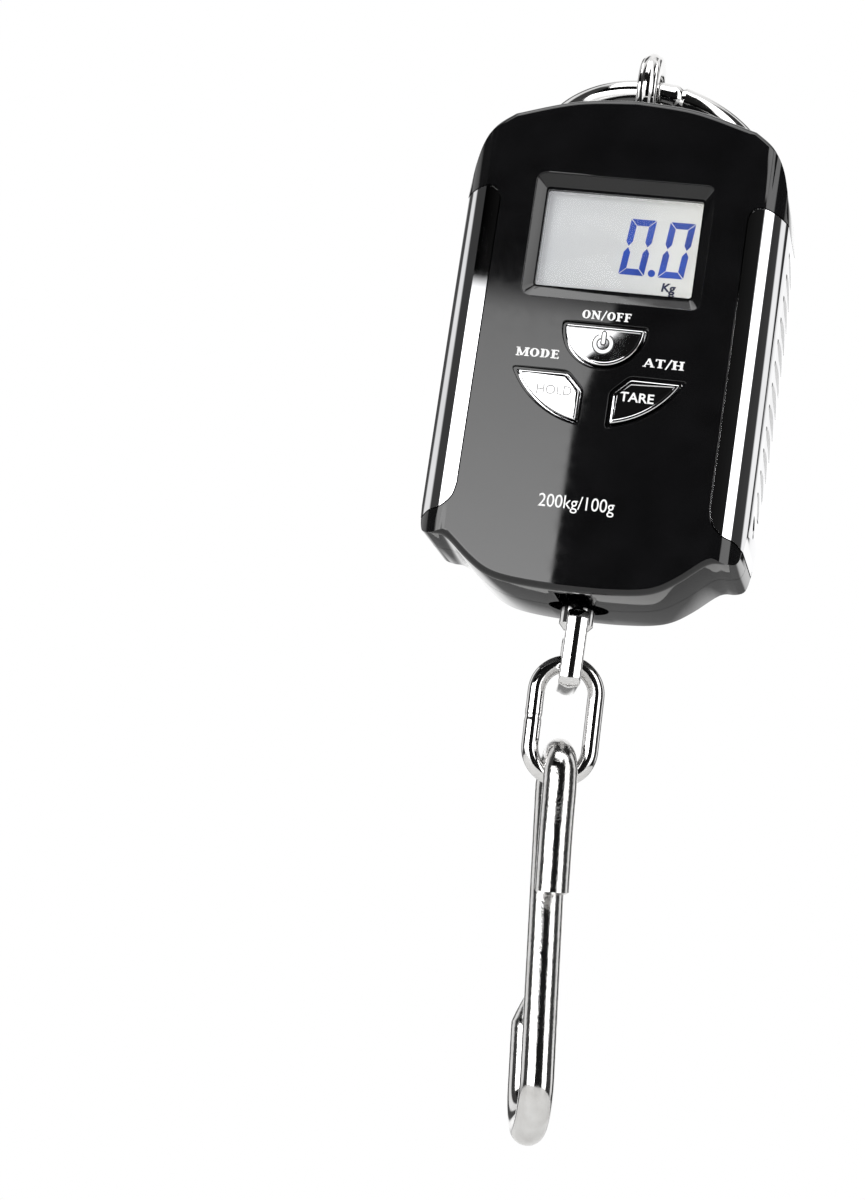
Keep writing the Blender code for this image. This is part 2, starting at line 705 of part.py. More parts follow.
def make_ring(looks):
    """The ring hangs in the upper eye and lies folded back on the casing."""
    turn = (Matrix.Rotation(math.radians(-RING_FOLD), 4, "X")
            @ Matrix.Rotation(math.radians(RING_ROLL), 4, "Y"))
    hinge = pivot("ring_pivot", (0, 0, 0), turn)
    path = [(x, RING_RADIUS + y, 0) for x, y in circle(RING_RADIUS, 36)]
    ring = swept("suspension_ring", path, [RING_WIRE] * len(path), 10, (0, 0, 1), closed=True)
    add_object("suspension_ring", ring, looks["chrome"], hinge)


def link_turn():
    return (Matrix.Rotation(math.radians(LINK_YAW), 4, "Z")
            @ Matrix.Rotation(math.radians(-LINK_LEAN), 4, "Y"))


def make_link(looks):
    """A long chain link; its pivot is the centre of its upper bend."""
    hinge = pivot("link_pivot", (0, 0, LINK_PIVOT_Z), link_turn())
    bends = (arc((0, 0), (LINK_ARC, LINK_ARC), 0, 180, 11)
             + arc((0, -LINK_STRAIGHT), (LINK_ARC, LINK_ARC), 180, 360, 11))
    path = [(x, 0, z) for x, z in bends]
    link = swept("chain_link", path, [LINK_WIRE] * len(path), 10, (0, 1, 0), closed=True)
    add_object("chain_link", link, looks["chrome"], hinge)


def hook_path():
    """Centreline (y, z, radius) from the closed eye's end to the point."""
    leg_end = HOOK_EYE_HALF - 2 * HOOK_ROD - 0.45
    leg = smooth([(leg_end, -27.0), (leg_end - 0.5, -22.5), (-3.6, -13.5), (-5.9, -4.5),
                  (-HOOK_EYE_HALF, 0)], 3)
    crown = arc((0, 0), (HOOK_EYE_HALF, 5.8), 180, 0, 12)[1:]
    centre_z = HOOK_BOWL + HOOK_ROD - HOOK_DEPTH
    bowl = arc((HOOK_EYE_HALF + HOOK_BOWL, centre_z), (HOOK_BOWL, HOOK_BOWL), 180, 360, 14)
    tip_y = HOOK_EYE_HALF + 2 * HOOK_BOWL
    points = [(y, z, HOOK_ROD) for y, z in leg]
    points += [(y, z, HOOK_ROD - 0.6 * max(z, 0) / 5.8) for y, z in crown]
    points += [(y, z, HOOK_ROD) for y, z in bowl]
    points += [(tip_y, -HOOK_TIP - 7.5, HOOK_ROD), (tip_y, -HOOK_TIP - 0.8, 1.0),
               (tip_y, -HOOK_TIP, 0.35)]
    return points


def make_hook(looks):
    """An S-hook whose closed eye hangs on the link's lower bend."""
    below = link_turn() @ Vector((0, 0, -(LINK_STRAIGHT + LINK_ARC)))
    turn = (Matrix.Rotation(math.radians(HOOK_YAW), 4, "Z")
            @ Matrix.Rotation(math.radians(-HOOK_LEAN), 4, "Y")
            @ Matrix.Rotation(math.radians(HOOK_TILT), 4, "X"))
    hinge = pivot("hook_pivot", Vector((0, 0, LINK_PIVOT_Z)) + below, turn)
    points = hook_path()
    hook = swept("hook", [(0, y, z) for y, z, _ in points], [r for _, _, r in points],
                 12, (1, 0, 0))
    add_object("hook", hook, looks["chrome"], hinge)


# ---------------------------------------------------------------- batteries

def make_batteries(looks):
    for number, (z, way) in enumerate(zip(BATTERY_Z, (1, -1)), start=1):
        place = (0, BATTERY_Y, z)
        profile = [(-19.7, 4.6), (-19.3, CELL_AAA_RADIUS), (23.2, CELL_AAA_RADIUS),
                   (23.6, 4.6), (23.6, 1.9), (24.8, 1.9)]
        cell = turned("cell", [(way * d, r) for d, r in profile], place, "x", 20)
        add_object(f"battery_cell_{number}", cell, looks["battery"])
        turns, steps = 3, 10
        count = turns * steps + 1
        path = []
        for i in range(count):
            share = i / (count - 1)
            angle = 2 * math.pi * i / steps
            reach = 3.6 - 1.3 * share
            path.append((way * (-24.6 + 4.1 * share), BATTERY_Y + reach * math.cos(angle),
                         z + reach * math.sin(angle)))
        coil = swept("coil", path, [0.32] * count, 5, (1, 0, 0))
        add_object(f"battery_spring_{number}", coil, looks["steel"])
    for name, side in (("left", -1), ("right", 1)):
        low, high = sorted((side * 25.2, side * 25.5))
        plate = box("plate", (low, 7.2, -115.0), (high, 15.8, -96.6))
        add_object(f"battery_contact_{name}", plate, looks["steel"])


def make_wires(looks):
    for name, side in (("battery_wire_red", 1), ("battery_wire_black", -1)):
        route = [(22.0, -7.8, -87.0), (22.9, -6.4, -89.6), (24.2, -2.0, -91.0),
                 (24.6, 2.5, -91.4), (24.6, 5.6, -92.9), (24.6, 6.9, -95.0)]
        path = smooth([(side * x, y, z) for x, y, z in route], 3)
        wire = swept(name, path, [0.6] * len(path), 6, (1, 0, 0))
        add_object(name, wire, looks["red" if side > 0 else "black_rubber"])
    route = [(0.0, -3.2, -65.0), (3.4, -6.0, -65.0), (7.0, -7.6, -65.6), (10.6, -8.0, -66.4)]
    path = smooth(route, 3)
    cable = swept("gauge_cable", path, [0.5] * len(path), 6, (0, 0, 1))
    add_object("gauge_cable", cable, looks["light_plastic"])


# ---------------------------------------------------------------- screws

def screw(name, place, head_y, way, head, shank, look):
    """A pan-head screw along Y; way is +1 when its shank points to +Y."""
    (head_radius, head_height), (shank_radius, length) = head, shank
    profile = [(0, head_radius * 0.7), (0.4, head_radius), (head_height, head_radius),
               (head_height, shank_radius), (head_height + length - 0.8, shank_radius),
               (head_height + length, 0.4)]
    x, z = place
    body = turned(name, [(head_y + way * d, r) for d, r in profile], (x, 0, z), "y", 12)
    slot = box("slot", (x - 3, min(head_y - way, head_y + way * 0.6), z - 0.3),
               (x + 3, max(head_y - way, head_y + way * 0.6), z + 0.3))
    return add_object(name, minus(body, slot), look)


def make_screws(looks):
    for i, place in enumerate(CASE_SCREWS, start=1):
        screw(f"case_screw_{i}", place, 14.6, -1, (2.2, 1.6), (1.25, 24.5), looks["steel"])
    for i, place in enumerate(BOARD_SCREWS, start=1):
        screw(f"board_screw_{i}", place, -7.3, -1, (1.8, 1.2), (0.8, 6.2), looks["steel"])
    for i, place in enumerate(CELL_SCREWS, start=1):
        screw(f"cell_screw_{i}", place, -7.6, 1, (2.7, 1.8), (1.4, 19.5), looks["steel"])


# ---------------------------------------------------------------- whole scale

def make_looks():
    return {
        "black": material("gloss_black_plastic", (0.008, 0.008, 0.009), 0.0, 0.12),
        "chrome": material("chrome", (0.62, 0.62, 0.63), 1.0, 0.08),
        "clear": material("clear_window", (0.9, 0.92, 0.92), 0.0, 0.05, 0.9),
        "lcd": material("lcd_glass", (0.42, 0.44, 0.45), 0.0, 0.25),
        "light_plastic": material("light_plastic", (0.75, 0.75, 0.72), 0.0, 0.45),
        "rubber": material("grey_rubber", (0.18, 0.18, 0.18), 0.0, 0.8),
        "black_rubber": material("black_wire", (0.02, 0.02, 0.02), 0.0, 0.6),
        "red": material("red_wire", (0.5, 0.02, 0.02), 0.0, 0.5),
        "board": material("green_board", (0.02, 0.16, 0.06), 0.0, 0.45),
        "chip": material("black_chip", (0.02, 0.02, 0.02), 0.0, 0.55),
        "aluminium": material("aluminium", (0.7, 0.71, 0.72), 1.0, 0.35),
        "gauge": material("gauge_foil", (0.7, 0.45, 0.2), 0.3, 0.4),
        "steel": material("zinc_steel", (0.55, 0.56, 0.58), 1.0, 0.3),
        "battery": material("battery_sleeve", (0.08, 0.12, 0.2), 0.2, 0.35),
    }


def main():
    clear_scene()
    looks = make_looks()
    hollow = hollow_casing()
    make_front_shell(looks["black"], hollow.copy())
    make_rear_shell(looks["black"], hollow.copy())
    make_grip(-1, looks["chrome"], "left_grip")
    make_grip(1, looks["chrome"], "right_grip")
    make_battery_door(looks["black"])
    make_display(looks)
    make_board(looks)
    for name, (outline, _, _) in BUTTONS.items():
        make_button(name, outline, looks["chrome"])
    make_load_cell(looks)
    make_upper_eye(looks)
    make_lower_eye(looks)
    make_ring(looks)
    make_link(looks)
    make_hook(looks)
    make_batteries(looks)
    make_wires(looks)
    make_screws(looks)
    for mesh in [m for m in bpy.data.meshes if not m.users]:
        bpy.data.meshes.remove(mesh)


main()
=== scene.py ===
"""Looks of the hand-held hanging scale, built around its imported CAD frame.

Shapes are worked out in millimetres in the frame's own axes (+Z up, -Y the
display side) and scaled to metres by MM when a mesh is made.
"""

import math

import bmesh
import bpy
from mathutils import Matrix, Vector, noise


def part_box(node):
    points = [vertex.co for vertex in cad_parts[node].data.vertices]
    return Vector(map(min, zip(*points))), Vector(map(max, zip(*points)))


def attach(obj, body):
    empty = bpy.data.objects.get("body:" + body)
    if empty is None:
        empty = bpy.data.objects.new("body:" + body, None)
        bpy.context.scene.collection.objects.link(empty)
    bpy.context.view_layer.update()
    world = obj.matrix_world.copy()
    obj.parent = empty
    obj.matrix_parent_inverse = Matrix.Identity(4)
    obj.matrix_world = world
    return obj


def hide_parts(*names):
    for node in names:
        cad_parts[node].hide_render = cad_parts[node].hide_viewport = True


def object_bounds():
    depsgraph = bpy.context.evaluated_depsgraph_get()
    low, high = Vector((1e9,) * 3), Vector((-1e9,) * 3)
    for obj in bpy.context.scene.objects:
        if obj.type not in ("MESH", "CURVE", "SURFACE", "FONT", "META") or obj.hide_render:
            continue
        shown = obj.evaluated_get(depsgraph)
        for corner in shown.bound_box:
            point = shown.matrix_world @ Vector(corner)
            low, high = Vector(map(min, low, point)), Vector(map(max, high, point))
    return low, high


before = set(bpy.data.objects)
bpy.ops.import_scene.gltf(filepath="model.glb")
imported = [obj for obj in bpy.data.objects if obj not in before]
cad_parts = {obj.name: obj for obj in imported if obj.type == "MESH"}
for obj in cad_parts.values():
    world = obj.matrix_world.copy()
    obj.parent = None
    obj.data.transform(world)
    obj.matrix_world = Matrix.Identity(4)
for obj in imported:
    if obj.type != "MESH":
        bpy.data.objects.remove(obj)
cad_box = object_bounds()

MM = 0.001
GAP = 0.3


def node_box(name):
    """A CAD node's lowest and highest corner in millimetres."""
    low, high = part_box(name)
    return low / MM, high / MM


# ---------------------------------------------------------------- sizes

FRONT_LOW, FRONT_HIGH = node_box("front_shell")
REAR_HIGH = node_box("rear_shell")[1]
LCD_Y = node_box("lcd_panel")[0].y
POWER_LOW, POWER_HIGH = node_box("power_button")
TARE_LOW, TARE_HIGH = node_box("tare_button")
GRIP_HIGH = node_box("right_grip")[1]
UPPER_LOW, UPPER_HIGH = node_box("upper_eye_bolt")
LOWER_LOW, LOWER_HIGH = node_box("lower_eye_bolt")

TOP_Z = FRONT_HIGH.z
BOTTOM_Z = FRONT_LOW.z
HALF_WIDTH = GRIP_HIGH.x       # the grips are the casing's widest part
FRONT_Y = FRONT_LOW.y
BACK_Y = REAR_HIGH.y
FRONT_CORNER_X = 29.0
FRONT_CROWN = 1.0
WALL = 2.0
SIDE_WALL = 4.4
GRIP_SIDE = 2.0
GRIP_FRONT = 0.9
GRIP_BACK_Y = GRIP_HIGH.y
FRONT_EDGE_RADIUS = 1.6
REAR_TOP_RADIUS = 9.0
REAR_BOTTOM_RADIUS = 2.4
RIB_COUNT = 13
RIB_TOP = -38.6
RIB_PITCH = 5.2

WINDOW_HALF_X = 18.2
WINDOW_TOP = -31.0
WINDOW_BOTTOM = -54.2

KEY_FLANGE = 0.8              # a CAD key's box includes the flange behind the wall
POWER_Z = POWER_HIGH.z - KEY_FLANGE
POWER_RADIUS = POWER_Z - POWER_LOW.z - KEY_FLANGE
BUTTON_FACE_Y = POWER_LOW.y
KEY_CENTRE_Z = -64.9
KEY_DISC_RADIUS = 21.5
KEY_INNER_X = TARE_LOW.x + KEY_FLANGE
KEY_TOP_Z = TARE_HIGH.z - KEY_FLANGE
KEY_CHAMFER = 3.6
KEY_LEAN = 0.027              # slope of the lower keys towards the sides
KEY_STEP = 0.17               # the keys' faces lie this far inside their rims

UPPER_EYE_HOLE = 4.6
UPPER_EYE_OUTER = UPPER_HIGH.z
UPPER_EYE_THICKNESS = 4.8
LOWER_EYE_HOLE = 4.1
LOWER_EYE_OUTER = 8.2
LOWER_EYE_TOP = -126.4
LOWER_EYE_THICKNESS = 5.0
LOWER_EYE_Z = LOWER_LOW.z + LOWER_EYE_OUTER
BOLT_RADIUS = 4.0
EYE_YAW = 11.0

RING_RADIUS = 27.4
RING_WIRE = 3.3
RING_FOLD = 28.5
RING_ROLL = 3.0
LINK_WIRE = 2.0
LINK_ARC = 6.9
LINK_STRAIGHT = 12.7
LINK_PIVOT_Z = LOWER_EYE_Z - LOWER_EYE_HOLE + LINK_WIRE + GAP - LINK_ARC
LINK_YAW = 13.0
LINK_LEAN = 1.4
HOOK_ROD = 3.9
HOOK_EYE_HALF = 6.3
HOOK_BOWL = 10.05
HOOK_DEPTH = 81.1
HOOK_TIP = 44.1
HOOK_YAW = 15.9
HOOK_LEAN = 3.9
HOOK_TILT = -9.0

CASE_SCREWS = [(-27.0, -26.0), (27.0, -26.0), (-30.6, -106.5), (30.6, -106.5)]


# ---------------------------------------------------------------- meshes

def solid(name, rings, closed=False):
    """Skin a list of equal point loops; the ends are capped unless closed."""
    build = bmesh.new()
    loops = [[build.verts.new(Vector(p) * MM) for p in ring] for ring in rings]
    pairs = list(zip(loops, loops[1:]))
    if closed:
        pairs.append((loops[-1], loops[0]))
    for near, far in pairs:
        for i in range(len(near)):
            j = (i + 1) % len(near)
            build.faces.new((near[i], near[j], far[j], far[i]))
    if not closed:
        build.faces.new(loops[0])
        build.faces.new(loops[-1])
    bmesh.ops.recalc_face_normals(build, faces=build.faces)
    if build.calc_volume(signed=True) < 0:
        bmesh.ops.reverse_faces(build, faces=build.faces)
    mesh = bpy.data.meshes.new(name)
    build.to_mesh(mesh)
    build.free()
    return mesh


def prism_y(name, outline, near, far):
    return solid(name, [[(x, y, z) for x, z in outline] for y in (near, far)])


def prism_z(name, outline, near, far):
    return solid(name, [[(x, y, z) for x, y in outline] for z in (near, far)])


def box(name, low, high):
    (x0, y0, z0), (x1, y1, z1) = low, high
    return prism_z(name, [(x0, y0), (x1, y0), (x1, y1), (x0, y1)], z0, z1)


def circle(radius, steps):
    turn = 2 * math.pi / steps
    return [(radius * math.cos(i * turn), radius * math.sin(i * turn)) for i in range(steps)]


def quarter(steps):
    """Angles of a quarter turn in even steps, both ends included."""
    return [math.pi / 2 * i / steps for i in range(steps + 1)]


AXES = {"x": (Vector((0, 1, 0)), Vector((0, 0, 1)), Vector((1, 0, 0))),
        "y": (Vector((0, 0, 1)), Vector((1, 0, 0)), Vector((0, 1, 0))),
        "z": (Vector((1, 0, 0)), Vector((0, 1, 0)), Vector((0, 0, 1)))}


def turned(name, profile, centre=(0, 0, 0), axis="z", steps=48):
    """Rings of (distance along the axis, radius) around an axis."""
    side, up, along = AXES[axis]
    rings = []
    for distance, radius in profile:
        base = Vector(centre) + along * distance
        rings.append([base + side * a + up * b for a, b in circle(radius, steps)])
    return solid(name, rings)


def rod(name, radius, centre, axis, near, far, steps=48):
    return turned(name, [(near, radius), (far, radius)], centre, axis, steps)


def swept(name, path, radii, steps, across, closed=False, dent=None):
    """A round rod along a plane path; dent(i, angle) scales its radius."""
    points = [Vector(p) for p in path]
    count = len(points)
    normal = Vector(across)
    rings = []
    for i, (point, radius) in enumerate(zip(points, radii)):
        before = points[i - 1] if (i or closed) else point
        after = points[(i + 1) % count] if (i < count - 1 or closed) else point
        side = (after - before).normalized().cross(normal)
        ring = []
        for k in range(steps):
            angle = 2 * math.pi * k / steps
            reach = radius * (dent(i, angle) if dent else 1.0)
            ring.append(point + side * (reach * math.cos(angle))
                        + normal * (reach * math.sin(angle)))
        rings.append(ring)
    return solid(name, rings, closed=closed)


def placed(name, data):
    item = bpy.data.objects.new(name, data)
    bpy.context.scene.collection.objects.link(item)
    return item


def combined(base, tool, operation):
    """Return base cut by, joined to or kept inside the tool mesh."""
    target = placed("target", base)
    cutter = placed("cutter", tool)
    step = target.modifiers.new("step", "BOOLEAN")
    step.operation = operation
    step.solver = "EXACT"
    step.object = cutter
    result = evaluated(target)
    result.name = base.name
    for item in (target, cutter):
        bpy.data.objects.remove(item, do_unlink=True)
    build = bmesh.new()
    build.from_mesh(result)
    bmesh.ops.remove_doubles(build, verts=build.verts, dist=0.000002)
    bmesh.ops.dissolve_degenerate(build, edges=build.edges, dist=0.000002)
    build.to_mesh(result)
    build.free()
    return result


def evaluated(item):
    graph = bpy.context.evaluated_depsgraph_get()
    graph.update()
    return bpy.data.meshes.new_from_object(item.evaluated_get(graph))


def minus(base, *tools):
    for tool in tools:
        base = combined(base, tool, "DIFFERENCE")
    return base


def plus(base, *tools):
    for tool in tools:
        base = combined(base, tool, "UNION")
    return base


def common(base, tool):
    return combined(base, tool, "INTERSECT")


def joined(name, meshes):
    """Several separate closed bodies in one mesh."""
    build = bmesh.new()
    for mesh in meshes:
        build.from_mesh(mesh)
    made = bpy.data.meshes.new(name)
    build.to_mesh(made)
    build.free()
    return made


def smooth_front(mesh):
    """Give the crowned front face its exact normals, whatever its facets."""
    mesh.normals_split_custom_set([(0, 0, 0)] * len(mesh.loops))
    normals = [Vector((0, 0, 0))] * len(mesh.loops)
    for face in mesh.polygons:
        if face.normal.y > -0.99:
            continue
        corners = [mesh.vertices[i].co / MM for i in face.vertices]
        if any(abs(c.y - front_face(c.x)) > 0.03 for c in corners):
            continue
        for loop, corner in zip(face.loop_indices, corners):
            slope = 2 * FRONT_CROWN * corner.x / FRONT_CORNER_X ** 2
            normals[loop] = Vector((slope, -1, 0)).normalized()
    mesh.normals_split_custom_set(normals)


def piece(name, mesh, look, nodes=(), body="casing", sharp=32, turn=None):
    """Put a mesh in the scene as a piece that rides on a body."""
    item = placed(name, mesh)
    if turn:
        mesh.transform(turn)
    mesh.materials.clear()
    mesh.materials.append(look)
    mesh.shade_smooth()
    mesh.set_sharp_from_angle(angle=math.radians(sharp))
    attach(item, body)
    if nodes:
        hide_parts(*nodes)
    return item


def softened(mesh, width):
    """Round the sharp edges by a small width, in millimetres."""
    item = placed("soften", mesh)
    mesh.shade_smooth()
    step = item.modifiers.new("bevel", "BEVEL")
    step.width = width * MM
    step.segments = 2
    step.limit_method = "ANGLE"
    step.angle_limit = math.radians(35)
    step.use_clamp_overlap = True
    made = evaluated(item)
    bpy.data.objects.remove(item, do_unlink=True)
    return made


# ---------------------------------------------------------------- outlines

def arc(centre, radii, start, end, steps):
    points = []
    for i in range(steps + 1):
        angle = math.radians(start + (end - start) * i / steps)
        points.append((centre[0] + radii[0] * math.cos(angle),
                       centre[1] + radii[1] * math.sin(angle)))
    return points


def smooth(points, steps):
    """A Catmull-Rom curve through the points."""
    made = []
    ends = [points[0]] + list(points) + [points[-1]]
    for a, b, c, d in zip(ends, ends[1:], ends[2:], ends[3:]):
        for i in range(steps):
            t = i / steps
            made.append(tuple(
                0.5 * (2 * q + (r - p) * t + (2 * p - 5 * q + 4 * r - s) * t ** 2
                       + (3 * q - p - 3 * r + s) * t ** 3)
                for p, q, r, s in zip(a, b, c, d)))
    made.append(points[-1])
    return made


def mirrored(half):
    return half + [(-x, z) for x, z in reversed(half[1:-1])]


def offset(outline, distance):
    """Move each corner of a closed outline inwards by the distance."""
    area = sum(a[0] * b[1] - b[0] * a[1]
               for a, b in zip(outline, outline[1:] + outline[:1]))
    sign = 1 if area > 0 else -1
    amounts = distance if isinstance(distance, list) else [distance] * len(outline)
    moved = []
    count = len(outline)
    for i, amount in enumerate(amounts):
        here = Vector(outline[i])
        back = (here - Vector(outline[i - 1])).normalized()
        ahead = (Vector(outline[(i + 1) % count]) - here).normalized()
        first = Vector((-back.y, back.x)) * sign
        second = Vector((-ahead.y, ahead.x)) * sign
        middle = (first + second).normalized()
        moved.append(tuple(here + middle * (amount / max(middle.dot(first), 0.5))))
    return moved


def rounded_box(x0, z0, x1, z1, radius, steps=8):
    return (arc((x1 - radius, z1 - radius), (radius, radius), 0, 90, steps)
            + arc((x0 + radius, z1 - radius), (radius, radius), 90, 180, steps)
            + arc((x0 + radius, z0 + radius), (radius, radius), 180, 270, steps)
            + arc((x1 - radius, z0 + radius), (radius, radius), 270, 360, steps))


OUTSIDE_STEPS = (8, 5, 4, 5)  # points between the outline's corners, by stretch
INSIDE_STEPS = (3, 2, 1, 2)


def casing_front_outline(steps=OUTSIDE_STEPS):
    """The casing seen from the front: arched top, S-curved lower corners."""
    top = smooth([(0, TOP_Z), (14, TOP_Z - 1.2), (28.2, TOP_Z - 5.0)], steps[0])
    shoulder = smooth([(28.2, TOP_Z - 5.0), (32.4, TOP_Z - 8.2), (35.2, TOP_Z - 12.8),
                       (36.6, TOP_Z - 17.5)], steps[1])[1:]
    side = smooth([(36.6, TOP_Z - 17.5), (HALF_WIDTH - 0.6, -40), (HALF_WIDTH, -66),
                   (HALF_WIDTH - 0.4, -94), (37.2, -111)], steps[2])[1:]
    lower = smooth([(37.2, -111), (36.2, -114.2), (33.8, -115.0), (30.2, -115.6),
                    (24.6, -120.2), (20.0, -123.2), (15.0, -124.6), (7.0, -125.3),
                    (0, BOTTOM_Z)], steps[3])[1:]
    return mirrored(top + shoulder + side + lower)


def front_face(x):
    """Depth of the crowned front face at x."""
    return FRONT_Y + FRONT_CROWN * (x / FRONT_CORNER_X) ** 2


def casing_plan_outline(inset_x=0.0, inset_y=0.0):
    """The casing seen from above: crowned front, rounded sides, flat back."""
    corner_x = FRONT_CORNER_X - inset_x * 0.5
    corner_y = FRONT_Y + FRONT_CROWN
    side = HALF_WIDTH - inset_x
    front = [(corner_x * i / 10, front_face(FRONT_CORNER_X * i / 10) + inset_y)
             for i in range(11)]
    turn = arc((corner_x, -8), (side - 0.7 - corner_x, -8 - corner_y - inset_y), -90, 0, 20)[1:]
    flank = [(side - 0.1, -2), (side, 3), (side - 0.3, 8)]
    rear = arc((27.5, 8), (side - 0.3 - 27.5, BACK_Y - 8 - inset_y), 0, 90, 16)[1:]
    return mirrored(front + turn + flank + rear + [(0, BACK_Y - inset_y)])


def rear_radius(z):
    """The rear edge is rounder at the top than at the bottom."""
    share = min(max((z - BOTTOM_Z) / (TOP_Z - BOTTOM_Z), 0), 1)
    return REAR_BOTTOM_RADIUS + (REAR_TOP_RADIUS - REAR_BOTTOM_RADIUS) * share ** 2


def casing_solid(name, inset=0.0, inset_x=0.0, steps=6):
    """The casing's outer body, or an even inset of it."""
    outline = casing_front_outline(INSIDE_STEPS if inset else OUTSIDE_STEPS)
    edge = FRONT_EDGE_RADIUS
    rounding = [rear_radius(z) for _, z in outline]
    if inset:
        outline = offset(outline, inset)
        edge = 0.4
        rounding = [max(radius - inset, 0.4) for radius in rounding]
    start = offset(outline, edge)
    rings = [[(x, FRONT_Y + inset - 2, z) for x, z in start]]
    for angle in quarter(steps):
        loop = offset(outline, edge * (1 - math.sin(angle)))
        lift = inset + edge * (1 - math.cos(angle))
        rings.append([(x, front_face(x) + lift, z) for x, z in loop])
    for angle in quarter(steps + 2):
        loop = offset(outline, [r * (1 - math.cos(angle)) for r in rounding])
        rings.append([(x, BACK_Y - inset - r * (1 - math.sin(angle)), z)
                      for (x, z), r in zip(loop, rounding)])
    rings.append([(x, y + 2, z) for x, y, z in rings[-1]])
    plan = prism_z(name + "_plan", casing_plan_outline(inset_x or inset, inset), 5, -140)
    return common(solid(name, rings), plan)


def grip_outline(side, grow=0.0):
    """Front view of the region that a grip covers, on the side +1 or -1."""
    shape = (smooth([(29.0, -37.0), (29.3, -33.6), (31.6, -31.8), (36.0, -32.8),
                     (45.0, -37.0)], 8)
             + smooth([(45.0, -116.0), (38.0, -111.6), (35.4, -109.6), (32.4, -108.6),
                       (30.0, -106.2), (29.2, -103.0)], 8))
    if grow:
        shape = offset(shape, -grow)
    return [(side * x, z) for x, z in shape]


def eased(outline, reach):
    """Replace each sharp corner by a short curve that starts at most reach away."""
    made = []
    for i, corner in enumerate(outline):
        here = Vector(corner)
        back = Vector(outline[i - 1]) - here
        ahead = Vector(outline[(i + 1) % len(outline)]) - here
        if back.angle(ahead) > math.radians(150):
            made.append(corner)
            continue
        start = here + back.normalized() * min(reach, back.length * 0.45)
        end = here + ahead.normalized() * min(reach, ahead.length * 0.45)
        for k in range(6):
            t = k / 5
            made.append(tuple(start * (1 - t) ** 2 + here * (2 * t * (1 - t)) + end * t ** 2))
    return made


def power_outline():
    return arc((0, POWER_Z), (POWER_RADIUS, POWER_RADIUS), 180, 360, 28)


def key_outline(side):
    """A lower key: flat top, chamfered inner corner, round outer corner."""
    top_x = math.sqrt(KEY_DISC_RADIUS ** 2 - (KEY_TOP_Z - KEY_CENTRE_Z) ** 2)
    start = math.degrees(math.atan2(KEY_TOP_Z - KEY_CENTRE_Z, top_x))
    drop = math.sqrt(KEY_DISC_RADIUS ** 2 - KEY_INNER_X ** 2)
    end = math.degrees(math.atan2(-drop, KEY_INNER_X))
    rim = arc((0, KEY_CENTRE_Z), (KEY_DISC_RADIUS, KEY_DISC_RADIUS), start, end, 24)
    shape = rim + [(KEY_INNER_X, KEY_TOP_Z - KEY_CHAMFER),
                   (KEY_INNER_X + KEY_CHAMFER, KEY_TOP_Z)]
    return [(side * x, z) for x, z in shape]


KEYS = {"power": power_outline(), "hold": key_outline(-1), "tare": key_outline(1)}


# ---------------------------------------------------------------- materials

class Nodes:
    """Adds and links shader nodes in one tree."""

    def __init__(self, tree):
        self.tree = tree

    def add(self, kind, inputs=None, **settings):
        node = self.tree.nodes.new(kind)
        for key, value in settings.items():
            setattr(node, key, value)
        for key, value in (inputs or {}).items():
            if isinstance(value, bpy.types.NodeSocket):
                self.tree.links.new(value, node.inputs[key])
            else:
                node.inputs[key].default_value = value
        return node

    def maths(self, operation, a, b=0.0):
        return self.add("ShaderNodeMath", {0: a, 1: b}, operation=operation).outputs[0]

    def ramp(self, factor, stops):
        node = self.add("ShaderNodeValToRGB", {"Fac": factor})
        ramp = node.color_ramp
        while len(ramp.elements) < len(stops):
            ramp.elements.new(1.0)
        for element, (position, colour) in zip(ramp.elements, stops):
            element.position = position
            element.color = (*colour, 1.0) if len(colour) == 3 else colour
        return node.outputs["Color"]

    def shade(self, **sockets):
        """Link or set sockets of the Principled shader, such as Base_Color."""
        shader = self.tree.nodes["Principled BSDF"]
        for key, value in sockets.items():
            socket = shader.inputs[key.replace("_", " ")]
            if isinstance(value, bpy.types.NodeSocket):
                self.tree.links.new(value, socket)
            else:
                socket.default_value = value

    def place(self):
        return self.add("ShaderNodeTexCoord").outputs["Object"]

    def spread(self, value, low, high, start=0.3, end=0.7):
        """Map a noise value to a range."""
        return self.add("ShaderNodeMapRange", {
            "Value": value, "From Min": start, "From Max": end,
            "To Min": low, "To Max": high}).outputs["Result"]


def finish(name, dark, light, rough, metallic=0.0, scale=300.0, bump=0.0, grain=None,
           stretch=(1, 1, 1), **sockets):
    """A surface whose colour, roughness and relief vary by noise.

    rough is a (low, high) pair, grain the scale of the relief, and sockets
    are uniform Principled values such as Emission_Strength.
    """
    made = bpy.data.materials.new(name)
    made.use_nodes = True
    build = Nodes(made.node_tree)
    place = build.add("ShaderNodeMapping",
                      {"Vector": build.place(), "Scale": stretch}).outputs[0]
    cloud = build.add("ShaderNodeTexNoise", {"Vector": place, "Scale": scale, "Detail": 4.0})
    tint = build.ramp(cloud.outputs["Fac"], [(0.3, dark), (0.7, light)])
    worn = build.add("ShaderNodeTexNoise",
                     {"Vector": place, "Scale": scale * 2.7, "Detail": 5.0})
    build.shade(Base_Color=tint, Roughness=build.spread(worn.outputs["Fac"], *rough),
                Metallic=metallic, **sockets)
    if bump:
        fine = build.add("ShaderNodeTexNoise",
                         {"Vector": place, "Scale": grain or scale * 6, "Detail": 3.0})
        relief = build.add("ShaderNodeBump", {"Height": fine.outputs["Fac"],
                                              "Strength": bump, "Distance": 0.0001})
        build.shade(Normal=relief.outputs[0])
    return made


